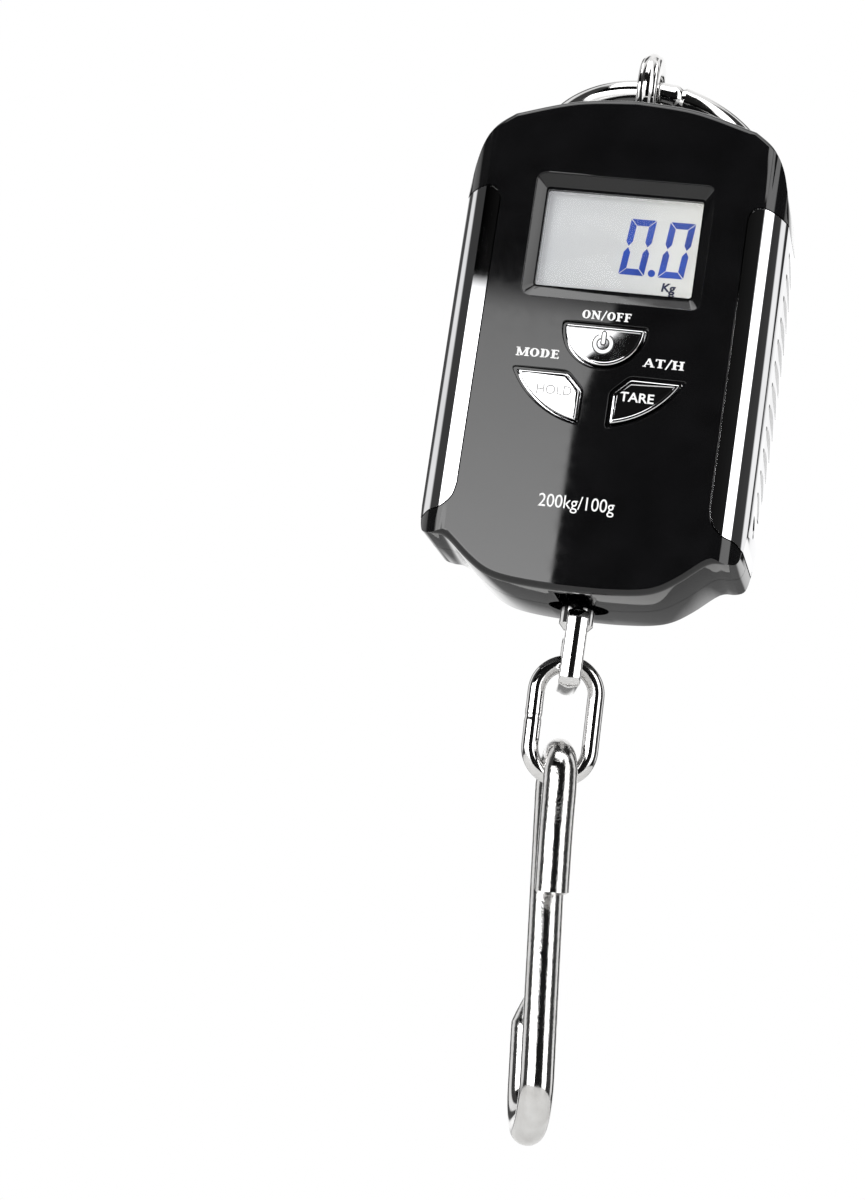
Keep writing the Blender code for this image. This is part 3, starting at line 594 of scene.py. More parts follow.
def hook_steel():
    """Bright plating over pitted steel: pits above the bend, smooth below."""
    made = finish("pitted_chrome", (0.62, 0.61, 0.60), (0.74, 0.735, 0.73), (0.06, 0.14),
                  metallic=1.0, scale=220)
    build = Nodes(made.node_tree)
    place = build.place()
    height = build.add("ShaderNodeSeparateXYZ", {"Vector": place}).outputs["Z"]
    rough_part = build.spread(height, 0.0, 1.0, start=-0.232, end=-0.222)
    pits = build.add("ShaderNodeTexNoise", {"Vector": place, "Scale": 1500.0, "Detail": 4.0,
                                            "Roughness": 0.65})
    deep = build.spread(pits.outputs["Fac"], 0.0, 1.0, start=0.42, end=0.58)
    height = build.maths("MULTIPLY", deep, rough_part)
    relief = build.add("ShaderNodeBump", {"Height": height, "Strength": 0.16,
                                          "Distance": 0.00006})
    build.shade(Normal=relief.outputs[0])
    return made


def lcd_face():
    """A grey panel with a painted glow, a little brighter to the right as painted light."""
    made = finish("lcd_face", (0.30, 0.31, 0.31), (0.36, 0.37, 0.37), (0.3, 0.4), scale=90,
                  Emission_Strength=0.72)
    build = Nodes(made.node_tree)
    # painted light: the panel's glow grows brighter towards the right
    across = build.add("ShaderNodeSeparateXYZ", {"Vector": build.place()}).outputs["X"]
    share = build.spread(across, 0.0, 1.0, start=-0.018, end=0.018)
    painted_light_glow = build.ramp(share, [(0.0, (0.40, 0.405, 0.42)), (0.55, (0.46, 0.465, 0.46)),
                              (1.0, (0.66, 0.655, 0.61))])
    build.shade(Emission_Color=painted_light_glow)
    return made


def clear_plastic():
    return finish("clear_window", (0.97, 0.97, 0.98), (1.0, 1.0, 1.0), (0.0, 0.03), scale=60,
                  Transmission_Weight=1.0, IOR=1.15)


# painted light: the segments glow with their own colour
def painted_glow_ink(name, dark, light, strength):
    """LCD segments: dark ink with a little painted glow, as if lit by the panel behind."""
    return finish(name, dark, light, (0.3, 0.4), scale=160,
                  Emission_Color=(*light, 1.0), Emission_Strength=strength)


def grey(level):
    return (level, level, level)


def make_looks():
    return {
        "black": finish("gloss_black", (0.0035, 0.0035, 0.0038), (0.0055, 0.0055, 0.006),
                        (0.02, 0.05), scale=120, bump=0.006, grain=70),
        "seam": finish("satin_black", grey(0.004), grey(0.01),
                       (0.35, 0.5), scale=300, bump=0.1),
        "plated": finish("plated_plastic", (0.70, 0.70, 0.71), (0.78, 0.78, 0.79),
                         (0.005, 0.025), metallic=1.0, scale=90, bump=0.004, grain=60),
        "chrome": finish("chrome_steel", (0.66, 0.655, 0.65), (0.76, 0.755, 0.75),
                         (0.04, 0.11), metallic=1.0, scale=260, bump=0.05, grain=500),
        "hook": hook_steel(),
        "steel": finish("zinc_steel", (0.42, 0.43, 0.45), (0.62, 0.63, 0.66), (0.22, 0.4),
                        metallic=1.0, scale=900, bump=0.15),
        "aluminium": finish("milled_aluminium", (0.6, 0.61, 0.62), (0.74, 0.75, 0.76),
                            (0.25, 0.42), metallic=1.0, scale=300, bump=0.2,
                            stretch=(1, 1, 9)),
        "clear": clear_plastic(),
        "lcd": lcd_face(),
        "light": finish("light_plastic", (0.66, 0.66, 0.63), (0.78, 0.78, 0.75),
                        (0.4, 0.55), scale=500, bump=0.08),
        "rubber": finish("grey_rubber", grey(0.12), grey(0.2), (0.7, 0.85),
                         scale=800, bump=0.25),
        "board": finish("green_board", (0.01, 0.1, 0.035), (0.025, 0.17, 0.06),
                        (0.3, 0.45), scale=700, bump=0.15, stretch=(1, 1, 3)),
        "chip": finish("black_chip", (0.012, 0.012, 0.013), (0.03, 0.03, 0.032),
                       (0.45, 0.6), scale=1500, bump=0.2),
        "gauge": finish("gauge_foil", (0.5, 0.28, 0.08), (0.75, 0.5, 0.2), (0.3, 0.45),
                        metallic=0.6, scale=1200, bump=0.1, stretch=(1, 8, 1)),
        "red": finish("wire_red", (0.38, 0.012, 0.012), (0.52, 0.02, 0.02), (0.4, 0.55),
                      scale=500, bump=0.08),
        "wire": finish("wire_black", grey(0.012), grey(0.025),
                       (0.45, 0.6), scale=500, bump=0.08),
        "battery": finish("battery_sleeve", (0.03, 0.06, 0.13), (0.06, 0.1, 0.2),
                          (0.25, 0.4), metallic=0.3, scale=200, bump=0.05),
        "print": finish("white_print", grey(0.80), grey(0.92),
                        (0.4, 0.55), scale=900, bump=0.05),
        # a darker copy of the white print: painted shade for the HOLD letters
        "grey": finish("print_painted_shade", grey(0.40), grey(0.50), (0.4, 0.55),
                       scale=900, bump=0.05),
        "digit": painted_glow_ink("segment_blue", (0.006, 0.03, 0.24), (0.01, 0.06, 0.40), 0.22),
        "unit": painted_glow_ink("segment_dark", (0.004, 0.006, 0.04), (0.006, 0.01, 0.06), 0.1),
    }


# ---------------------------------------------------------------- casing

LIP_CLEAR = 0.03              # keeps a cutter's rounded mouth off the face itself


def lipped_cutter(name, outline, lip, floor, bottom=None):
    """Cuts an outline into the front face; its mouth is rounded by lip.

    bottom is the outline at the floor, where that is another one.
    """
    rings = [[(x, FRONT_Y - 2, z) for x, z in offset(outline, -lip)]]
    for angle in quarter(4):
        loop = offset(outline, -lip * (1 - math.sin(angle)))
        lift = lip * (1 - math.cos(angle)) - LIP_CLEAR
        rings.append([(x, front_face(x) + lift, z) for x, z in loop])
    rings.append([(x, floor, z) for x, z in bottom or outline])
    return solid(name, rings)


def display_recess():
    """A dished surround that narrows to the window; its mouth is rounded too."""
    wide = rounded_box(-20.7, -57.4, 20.7, -27.8, 2.0)
    narrow = rounded_box(-18.6, -54.7, 18.6, -30.4, 0.8)
    return lipped_cutter("recess", wide, 0.35, -16.4, narrow)


def grip_pocket(side):
    region = prism_y("pocket", grip_outline(side, GAP), -30, GRIP_BACK_Y + GAP)
    floor = casing_plan_outline(GRIP_SIDE + GAP, GRIP_FRONT + GAP)
    return minus(region, prism_z("pocket_floor", floor, 20, -160))


def eye_openings():
    """Round hole at the top; keyhole at the bottom, its slot to the front."""
    slot = arc((0, 0.6), (7.0, 7.0), -57, 237, 48)
    keyhole = [(3.8, -15.2)] + slot + [(-3.8, -15.2)]
    return [rod("top_hole", 6.2, (0, 0, 0), "z", TOP_Z - 6, TOP_Z + 3),
            prism_z("keyhole", keyhole, BOTTOM_Z - 2, BOTTOM_Z + 6)]


def post(x, z, radius, near, far):
    return rod("post", radius, (x, 0, z), "y", near, far, steps=32)


def half_space(name, near, far):
    return box(name, (-60, near, -150), (60, far, 10))


def hollow_casing():
    shell = casing_solid("casing")
    inner = casing_solid("inner", WALL, SIDE_WALL, steps=3)
    return minus(shell, inner, grip_pocket(1), grip_pocket(-1))


def make_front_shell(looks, hollow):
    shell = common(hollow, half_space("front_half", -40, -GAP / 2))
    shell = plus(shell, box("surround", (-23, -17.6, -59), (23, -15.0, -25.5)))
    for x, z in CASE_SCREWS:
        start = -16.6 if z > -60 else -13.8
        shell = plus(shell, post(x, z, 2.9, start, -GAP / 2 - 0.6))
    window = rounded_box(-WINDOW_HALF_X, WINDOW_BOTTOM, WINDOW_HALF_X, WINDOW_TOP, 0.6, 4)
    shell = minus(shell, display_recess(), prism_y("window", window, -22, -14))
    for name, outline in KEYS.items():
        shell = minus(shell,
                      lipped_cutter("seat", eased(offset(outline, -0.9), 1.1), 0.3, -18.0),
                      prism_y("hole", eased(offset(outline, -0.35), 0.8), -22, -14))
    for x, z in CASE_SCREWS:
        shell = minus(shell, post(x, z, 1.55, -13.0, 4))
    shell = minus(shell, *eye_openings())
    cover = piece("front_cover", shell, looks["black"], ["front_shell"])
    smooth_front(cover.data)


def make_rear_shell(looks, hollow):
    shell = common(hollow, half_space("rear_half", GAP / 2, 40))
    outer = common(box("bay", (-27, 4.9, -116.8), (27, BACK_Y - 1.0, -92.5)),
                   casing_solid("bay_limit", 0.7, 0.7, steps=3))
    shell = plus(shell, outer)
    for x, z in CASE_SCREWS:
        shell = plus(shell, post(x, z, 3.4, GAP / 2 + 0.3, 17.8 if z > -60 else 15.5))
    low, high = node_box("battery_door")
    opening = box("door_opening", (low.x - GAP, high.y - 2.2, low.z - GAP),
                  (high.x + GAP, BACK_Y + 3, high.z + GAP))
    shell = minus(shell, box("bay_inside", (-25.8, 5.9, -115.7), (25.8, BACK_Y + 3, -93.6)),
                  opening)
    for x, z in CASE_SCREWS:
        shell = minus(shell, post(x, z, 2.6, 12.6, 25), post(x, z, 1.6, -4, 14))
    shell = minus(shell, *eye_openings())
    piece("rear_cover", shell, looks["black"], ["rear_shell"])


def leaf(side, z):
    """A leaf-shaped dimple across the grip's side face."""
    face = side * HALF_WIDTH
    along = Vector((0, 12.0, -5.2))
    length = along.length / 2 + 1.4
    middle = Vector((face + side * 1.15, -3.0, z - 2.6))
    ahead = along.normalized()
    out = Vector((side, 0, 0))
    across = ahead.cross(out)
    rings = []
    for i in range(1, 24):
        share = -1 + 2 * i / 24
        width = 1.9 * (1 - share ** 2) ** 0.75
        depth = 2.6 * (1 - share ** 2) ** 0.35
        rings.append([middle + ahead * (share * length) + across * (width * a) + out * (depth * b)
                      for a, b in circle(1.0, 20)])
    return solid("leaf", rings)


def make_grips(looks):
    for name, side in (("left", -1), ("right", 1)):
        body = casing_solid("grip_body")
        region = prism_y("grip_region", grip_outline(side), -30, GRIP_BACK_Y)
        inside = prism_z("grip_inside", casing_plan_outline(GRIP_SIDE, GRIP_FRONT), 20, -160)
        grip = softened(minus(common(body, region), inside), 0.14)
        leaves = [leaf(side, RIB_TOP - i * RIB_PITCH) for i in range(RIB_COUNT)]
        grip = minus(grip, joined("leaves", leaves))
        piece(f"{name}_plated_grip", grip, looks["plated"],
              [f"{name}_grip"], sharp=20)


# ---------------------------------------------------------------- keys

def key_drop(x):
    """The lower keys lean back with the casing's crown; the power key is flat."""
    return KEY_LEAN * max(abs(x) - KEY_INNER_X, 0)


def make_key(name, outline):
    """A plated cap: rounded rim, then a step down to a flat face."""
    levels = [(-15.2, -0.8), (-16.1, -0.8), (-16.1, 0.0), (BUTTON_FACE_Y + 0.5, 0.0)]
    for angle in quarter(5)[1:]:
        levels.append((BUTTON_FACE_Y + 0.35 * (1 - math.sin(angle)),
                       0.35 * (1 - math.cos(angle))))
    levels += [(BUTTON_FACE_Y, 0.62), (BUTTON_FACE_Y + KEY_STEP, 0.80)]
    lean = 0.0 if name == "power" else 1.0
    rings = []
    for y, inset in levels:
        drop = lean if y < -17 else 0.0
        rings.append([(x, y + drop * key_drop(x), z)
                      for x, z in eased(offset(outline, inset), 0.6)])
    return solid(name, rings)


def make_keys(looks):
    for name, outline in KEYS.items():
        cap = make_key(name, outline)
        piece(f"{name}_key_cap", cap, looks["plated"],
              [f"{name}_button"], body=f"{name}_key", sharp=25)


def power_face(_):
    return BUTTON_FACE_Y + KEY_STEP


def key_face(x):
    return BUTTON_FACE_Y + KEY_STEP + key_drop(x)


# ---------------------------------------------------------------- lettering

def on_surface(mesh, surface, lift):
    """Bend a flat x-z mesh onto a surface; y in the mesh is its height."""
    for vertex in mesh.vertices:
        x, y, z = vertex.co / MM
        vertex.co.y = (surface(x) - lift + y) * MM
    return mesh


THICK, THIN, SERIF = 0.24, 0.11, 0.10


def slab(outline, height):
    return prism_y("slab", outline, -height / 2, height / 2)


def bar(x0, z0, x1, z1, width=THIN):
    """A straight stroke between two points."""
    along = (Vector((x1, z1)) - Vector((x0, z0))).normalized()
    side = Vector((-along.y, along.x)) * width / 2
    a, b = Vector((x0, z0)), Vector((x1, z1))
    return [tuple(a + side), tuple(a - side), tuple(b - side), tuple(b + side)]


def stem(x, width=THICK, feet=(True, True)):
    """An upright with serifs at its foot and head."""
    shapes = [bar(x, 0, x, 1, width)]
    for level, wanted in ((THIN / 2, feet[0]), (1 - THIN / 2, feet[1])):
        if wanted:
            shapes.append(bar(x - width / 2 - SERIF, level, x + width / 2 + SERIF, level))
    return shapes


def bowl(centre_x, reach, start=0, end=360):
    """A round stroke that is thick at its sides and thin above and below."""
    shapes = []
    steps = 28
    for i in range(steps):
        a = math.radians(start + (end - start) * i / steps)
        b = math.radians(start + (end - start) * (i + 1) / steps)
        quad = []
        for angle, inner in ((a, 0), (b, 0), (b, 1), (a, 1)):
            x = (reach - inner * THICK * 1.05) * math.cos(angle)
            z = (0.5 - inner * THIN * 0.9) * math.sin(angle)
            quad.append((centre_x + x, 0.5 + z))
        shapes.append(quad)
    return shapes


def serif_glyph(letter):
    """Strokes of one capital on a unit height, and its advance."""
    tick = bar(0.66, 0.78, 0.66, 1.0)
    glyphs = {
        "O": (bowl(0.46, 0.42), 0.96),
        "N": (stem(0.2, THIN * 1.3) + stem(0.82, THIN * 1.3, (False, True))
              + [bar(0.2, 0.97, 0.82, 0.06, THICK * 0.95)], 1.06),
        "F": (stem(0.24) + [bar(0.2, 1 - THIN / 2, 0.7, 1 - THIN / 2), tick,
                            bar(0.24, 0.52, 0.58, 0.52),
                            bar(0.56, 0.40, 0.56, 0.64)], 0.82),
        "E": (stem(0.24) + [bar(0.2, 1 - THIN / 2, 0.7, 1 - THIN / 2), tick,
                            bar(0.24, 0.52, 0.58, 0.52),
                            bar(0.56, 0.40, 0.56, 0.64),
                            bar(0.2, THIN / 2, 0.74, THIN / 2),
                            bar(0.70, 0.0, 0.70, 0.24)], 0.88),
        "M": (stem(0.18, THIN * 1.3) + stem(0.98)
              + [bar(0.2, 0.96, 0.56, 0.05, THICK * 0.85),
                 bar(0.56, 0.05, 0.94, 0.96)], 1.22),
        "D": (stem(0.24) + bowl(0.40, 0.44, -90, 90)
              + [bar(0.2, 1 - THIN / 2, 0.44, 1 - THIN / 2),
                 bar(0.2, THIN / 2, 0.44, THIN / 2)], 0.96),
        "A": ([bar(0.12, 0.04, 0.48, 0.98), bar(0.46, 0.98, 0.82, 0.04, THICK * 0.9),
               bar(0.24, 0.34, 0.68, 0.34), bar(-0.02, THIN / 2, 0.28, THIN / 2),
               bar(0.62, THIN / 2, 1.0, THIN / 2)], 1.02),
        "T": (stem(0.44, feet=(True, False)) + [bar(0.04, 1 - THIN / 2, 0.84, 1 - THIN / 2),
                                                bar(0.08, 0.74, 0.08, 1.0),
                                                bar(0.80, 0.74, 0.80, 1.0)], 0.90),
        "H": (stem(0.22) + stem(0.82) + [bar(0.22, 0.5, 0.82, 0.5)], 1.06),
        "/": ([bar(0.04, -0.1, 0.5, 1.08, THIN * 1.2)], 0.56),
    }
    return glyphs[letter]


def serif_word(name, word, centre, height, width, looks):
    """White printed capitals, centred at (x, z) and fitted to a width."""
    total = sum(serif_glyph(letter)[1] for letter in word)
    stretch = width / total
    meshes = []
    cursor = centre[0] - width / 2
    for letter in word:
        strokes, advance = serif_glyph(letter)
        for stroke in strokes:
            outline = [(cursor + x * stretch, centre[1] + (z - 0.5) * height) for x, z in stroke]
            meshes.append(on_surface(slab(outline, 0.03), front_face, 0.005))
        cursor += advance * stretch
    piece(name, joined(name, meshes), looks["print"])


def sans_word(name, word, centre, height, width, surface, look, body="casing",
              thick=0.03, weight=0.0, slant=0.0):
    """A word in Blender's own typeface, fitted to a height and a width."""
    curve = bpy.data.curves.new(name, "FONT")
    curve.body = word
    curve.extrude = thick / 2
    curve.offset = weight
    curve.shear = slant
    curve.resolution_u = 6
    item = placed(name + "_text", curve)
    mesh = evaluated(item)
    bpy.data.objects.remove(item, do_unlink=True)
    bpy.data.curves.remove(curve)
    low = [min(v.co[i] for v in mesh.vertices) for i in range(2)]
    high = [max(v.co[i] for v in mesh.vertices) for i in range(2)]
    capital = height / (high[1] - low[1])
    for vertex in mesh.vertices:
        x, z, y = vertex.co
        vertex.co = Vector((centre[0] + (x - (low[0] + high[0]) / 2) * width / (high[0] - low[0]),
                            -y,
                            centre[1] + (z - (low[1] + high[1]) / 2) * capital)) * MM
    on_surface(mesh, surface, thick * 0.4)
    return piece(name, mesh, look, body=body)


def power_icon(looks):
    """A broken ring with a bar, raised from a dark groove in the power key."""
    centre_z = POWER_Z - 3.9
    for name, grow, height, look, slot in (
            ("power_icon_groove", 0.28, 0.10, "seam", "gloss_black"),
            ("power_icon", 0.0, 0.24, "print", "light_plastic")):
        outer = arc((0, centre_z), (2.3 + grow, 2.3 + grow), 122 - grow * 7, 418 + grow * 7, 40)
        inner = arc((0, centre_z), (1.5 - grow, 1.5 - grow), 418 + grow * 7, 122 - grow * 7, 40)
        stroke = rounded_box(-0.4 - grow, centre_z - 0.1 - grow, 0.4 + grow,
                             centre_z + 2.8 + grow, 0.3 + grow, 4)
        meshes = [on_surface(slab(shape, height), power_face, 0.0)
                  for shape in (outer + inner, stroke)]
        piece(name, joined(name, meshes), looks[look], body="power_key")


def make_lettering(looks):
    serif_word("word_on_off", "ON/OFF", (0.0, -60.9), 2.0, 11.6, looks)
    serif_word("word_mode", "MODE", (-14.6, -71.0), 2.05, 10.4, looks)
    serif_word("word_at_h", "AT/H", (14.4, -70.9), 2.05, 9.4, looks)
    sans_word("word_capacity", "200kg/100g", (-0.9, -105.6), 4.0, 17.4, front_face,
              looks["print"])
    # HOLD and TARE are the same raised letters: HOLD takes the darker print as painted shade,
    # TARE the white print as painted light
    sans_word("word_hold", "HOLD", (-9.7, -79.4), 2.3, 8.2, key_face, looks["grey"],
              "hold_key", thick=0.10, weight=0.016)
    sans_word("word_tare", "TARE", (9.4, -79.4), 2.2, 7.8, key_face, looks["print"],
              "tare_key", thick=0.10, weight=0.016)
    power_icon(looks)


# ---------------------------------------------------------------- display

def segment_digit(centre_x, top_z, bottom_z, half_width, thick, lean):
    """Six lit segments of a zero, leaning over by lean per millimetre."""
    gap = 0.16
    w, t = half_width, thick
    height = top_z - bottom_z
    middle = height / 2
    top = [(-w + gap, 0), (w - gap, 0), (w - t - gap * 0.6, -t), (-w + t + gap * 0.6, -t)]
    foot = [(x, -height - z) for x, z in reversed(top)]
    upper = [(w, -gap), (w, -middle + gap + t * 0.75), (w - t / 2, -middle + gap),
             (w - t, -middle + gap + t * 0.75), (w - t, -t - gap)]
    lower = [(x, -height - z) for x, z in reversed(upper)]
    shapes = [top, foot, upper, lower,
              [(-x, z) for x, z in reversed(upper)], [(-x, z) for x, z in reversed(lower)]]
    return [[(centre_x + x + lean * (z + height / 2), top_z + z) for x, z in shape]
            for shape in shapes]


def make_display(looks):
    def flat(_):
        return LCD_Y - 0.12

    shapes = []
    for centre_x in (4.0, 13.1):
        shapes += segment_digit(centre_x, -35.7, -49.1, 2.95, 1.5, 0.10)
    shapes.append([(x, z) for x, z in arc((8.0, -48.3), (0.85, 0.85), 0, 345, 23)])
    meshes = [on_surface(slab(shape, 0.08), flat, 0.0) for shape in shapes]
    piece("lcd_digits", joined("lcd_digits", meshes), looks["digit"])
    sans_word("lcd_unit", "Kg", (12.4, -51.7), 2.7, 3.3, flat, looks["unit"],
              thick=0.08, weight=0.03, slant=0.1)
    outline = rounded_box(-WINDOW_HALF_X + GAP, WINDOW_BOTTOM + GAP, WINDOW_HALF_X - GAP,
                          WINDOW_TOP - GAP, 1.2, 6)
    levels = ((-13.9, 0.0), (-16.0, 0.0), (-16.22, 0.08), (-16.3, 0.3))
    rings = [[(x, y, z) for x, z in offset(outline, inset)] for y, inset in levels]
    piece("clear_lens", solid("clear_lens", rings), looks["clear"],
          ["display_window"])


# ---------------------------------------------------------------- steel parts

def eye_ring(name, centre_z, hole, outer, thickness, corner, crown, steps=72):
    """A ring plate with a crowned rim and round corners; its hole runs along X."""
    half = thickness / 2
    rim = []
    for i in range(13):
        share = -1 + 2 * i / 12
        rim.append((share * (half - corner), outer - crown * share ** 2))
    edge = outer - crown - corner
    right = [(half - corner + corner * math.sin(a), edge + corner * math.cos(a))
             for a in quarter(6)[1:]]
    left = [(-x, r) for x, r in reversed(right)]
    inner_radius = 1.0
    inner = [(half - inner_radius + inner_radius * math.cos(a),
              hole + inner_radius - inner_radius * math.sin(a))
             for a in quarter(5)]
    profile = left + rim + right + inner + [(-x, r) for x, r in reversed(inner)]
    rings = [[(x, radius * a, centre_z + radius * b) for x, radius in profile]
             for a, b in circle(1.0, steps)]
    return solid(name, rings, closed=True)


def eye_tab(name, outer, hole, thickness, corner, crown):
    """A tall tab with crowned edges and round corners; its hole runs along X."""
    half = thickness / 2
    outline = rounded_box(-outer, LOWER_EYE_Z - outer, outer, LOWER_EYE_TOP, 2.6, 10)
    around = [Vector((y, z - LOWER_EYE_Z)).normalized() for y, z in outline]
    levels = [(share * (half - corner), crown * share ** 2)
              for share in [-1 + i / 6 for i in range(13)]]
    levels += [(half - corner + corner * math.sin(a), crown + corner * (1 - math.cos(a)))
               for a in quarter(6)[1:]]
    levels = [(-x, inset) for x, inset in reversed(levels[13:])] + levels
    rings = [[(x, y, z) for y, z in offset(outline, inset)] for x, inset in levels]
    bevel = 1.2
    bore = [(half - bevel + bevel * math.cos(a), hole + bevel * (1 - math.sin(a)))
            for a in quarter(5)]
    for x, radius in bore + [(-x, r) for x, r in reversed(bore)]:
        rings.append([(x, radius * a.x, LOWER_EYE_Z + radius * a.y) for a in around])
    return solid(name, rings, closed=True)


def make_eyes(looks):
    top = UPPER_LOW.z
    shank = turned("shank", [(top, 3.5), (top + 0.6, BOLT_RADIUS), (-13.0, BOLT_RADIUS),
                             (-11.4, 5.4), (-9.2, 5.4), (-7.6, 3.6), (-6.6, 2.3)])
    eye = eye_ring("upper_eye", 0, UPPER_EYE_HOLE, UPPER_EYE_OUTER, UPPER_EYE_THICKNESS,
                   0.9, 0.7)
    piece("upper_eye", plus(eye, shank), looks["chrome"],
          ["upper_eye_bolt"])
    head = LOWER_HIGH.z
    shank = turned("shank", [(head, 3.5), (head - 0.6, BOLT_RADIUS), (-129.6, BOLT_RADIUS),
                             (-131.4, 2.35)])
    eye = eye_tab("lower_eye", LOWER_EYE_OUTER, LOWER_EYE_HOLE, LOWER_EYE_THICKNESS, 0.8,
                  0.5)
    turn = Matrix.Rotation(math.radians(EYE_YAW), 4, "Z")
    piece("lower_eye_swivel", plus(eye, shank), looks["chrome"],
          ["lower_eye_bolt"], body="lower_eye", turn=turn)


def weld_mark(middle, spread, count, depth):
    """A narrow butt joint: a groove with a rough bead on each side."""
    def dent(i, angle):
        away = min(abs(i - middle), count - abs(i - middle)) / spread
        groove = -depth * math.exp(-(away * 3.0) ** 2)
        bead = 0.35 * depth * math.exp(-(away - 1.0) ** 2 * 4.0)
        rough = 0.35 * depth * math.exp(-away ** 2) * noise.noise(
            Vector((math.cos(angle) * 2.5, math.sin(angle) * 2.5, i * 0.8)))
        return 1.0 + groove + bead + rough
    return dent


RING_SEAM = 284.5               # degrees round the ring to its butt joint


def make_ring(looks):
    count = 220
    path = [(x, RING_RADIUS + y, 0) for x, y in circle(RING_RADIUS, count)]
    dent = weld_mark(RING_SEAM / 360 * count, 1.5, count, 0.13)
    ring = swept("hanging_ring", path, [RING_WIRE] * count, 36, (0, 0, 1), True, dent)
    turn = (Matrix.Rotation(math.radians(-RING_FOLD), 4, "X")
            @ Matrix.Rotation(math.radians(RING_ROLL), 4, "Y"))
    piece("hanging_ring", ring, looks["chrome"], ["suspension_ring"],
          body="ring", turn=turn)


def link_turn():
    return (Matrix.Rotation(math.radians(LINK_YAW), 4, "Z")
            @ Matrix.Rotation(math.radians(-LINK_LEAN), 4, "Y"))


def stretched_oval(steps_arc, steps_bar):
    """The link's centreline as evenly spaced points, from its right side up."""
    points = arc((0, 0), (LINK_ARC, LINK_ARC), 0, 180, steps_arc)
    points += [(-LINK_ARC, -LINK_STRAIGHT * i / steps_bar) for i in range(1, steps_bar)]
    points += arc((0, -LINK_STRAIGHT), (LINK_ARC, LINK_ARC), 180, 360, steps_arc)
    points += [(LINK_ARC, -LINK_STRAIGHT * (1 - i / steps_bar)) for i in range(1, steps_bar)]
    return points


def make_link(looks):
    steps_arc, steps_bar = 44, 24
    bends = stretched_oval(steps_arc, steps_bar)
    path = [(x, 0, z) for x, z in bends]
    dent = weld_mark(steps_arc + steps_bar / 2, 2.4, len(path), 0.07)
    link = swept("welded_link", path, [LINK_WIRE] * len(path), 28, (0, 1, 0), True, dent)
    turn = Matrix.Translation(Vector((0, 0, LINK_PIVOT_Z)) * MM) @ link_turn()
    piece("welded_link", link, looks["chrome"], ["chain_link"],
          body="link", turn=turn)


def hook_path():
    """Centreline (y, z, radius) from the closed eye's end to the point."""
    leg_end = HOOK_EYE_HALF - 2 * HOOK_ROD - 0.45
    leg = smooth([(leg_end, -27.0), (leg_end - 0.5, -22.5), (-3.6, -13.5), (-5.9, -4.5),
                  (-HOOK_EYE_HALF, 0)], 12)
    crown = arc((0, 0), (HOOK_EYE_HALF, 5.8), 180, 0, 40)[1:]
    centre_z = HOOK_BOWL + HOOK_ROD - HOOK_DEPTH
    shank = [(HOOK_EYE_HALF, centre_z * i / 40) for i in range(1, 40)]
    bowl_arc = arc((HOOK_EYE_HALF + HOOK_BOWL, centre_z), (HOOK_BOWL, HOOK_BOWL),
                   180, 360, 48)
    tip_y = HOOK_EYE_HALF + 2 * HOOK_BOWL
    points = [(*leg[0], HOOK_ROD - 0.3)]
    points += [(y, z, HOOK_ROD) for y, z in [(leg[0][0], leg[0][1] + 0.3)] + leg[1:]]
    points += [(y, z, HOOK_ROD - 0.6 * max(z, 0) / 5.8) for y, z in crown]
    points += [(y, z, HOOK_ROD) for y, z in shank + bowl_arc]
    shoulder_z = -HOOK_TIP - 7.5
    points += [(tip_y, centre_z + (shoulder_z - centre_z) * i / 10, HOOK_ROD)
               for i in range(1, 11)]
    for i in range(1, 15):
        share = i / 15
        radius = HOOK_ROD - (HOOK_ROD - 0.9) * share ** 1.15
        points.append((tip_y, shoulder_z + 6.7 * share, radius))
    points += [(tip_y, -HOOK_TIP - 0.45, 0.75), (tip_y, -HOOK_TIP, 0.3)]
    return points


def make_hook(looks):
    below = link_turn() @ Vector((0, 0, -(LINK_STRAIGHT + LINK_ARC)))
    place = Vector((0, 0, LINK_PIVOT_Z)) + below
    turn = (Matrix.Translation(place * MM)
            @ Matrix.Rotation(math.radians(HOOK_YAW), 4, "Z")
            @ Matrix.Rotation(math.radians(-HOOK_LEAN), 4, "Y")
            @ Matrix.Rotation(math.radians(HOOK_TILT), 4, "X"))
    points = hook_path()
    hook = swept("s_hook", [(0, y, z) for y, z, _ in points], [r for _, _, r in points],
                 40, (1, 0, 0))
    piece("s_hook", hook, looks["hook"], ["hook"], body="hook", turn=turn)


# ---------------------------------------------------------------- studio

WHITE = 1.0
SOFTBOX = 6.3                 # radiance of the big box on the left
STRIP = 3.2                   # and of the narrow one on the right, the brightest band
BANDS = [                     # the studio's levels by azimuth in degrees, not yet to scale
    (-180, 0.30), (-152, 0.30), (-146, 0.02), (-128, 0.02), (-122, 0.26), (-98, 0.26),
    (-92, 0.015), (-62, 0.015), (-60, 0.0), (40, 0.004), (43, 0.85), (68, 0.85), (71, 0.012),
    (108, 0.015), (112, 0.30), (128, 0.30), (132, 0.01), (152, 0.01), (157, 0.30), (180, 0.30)]


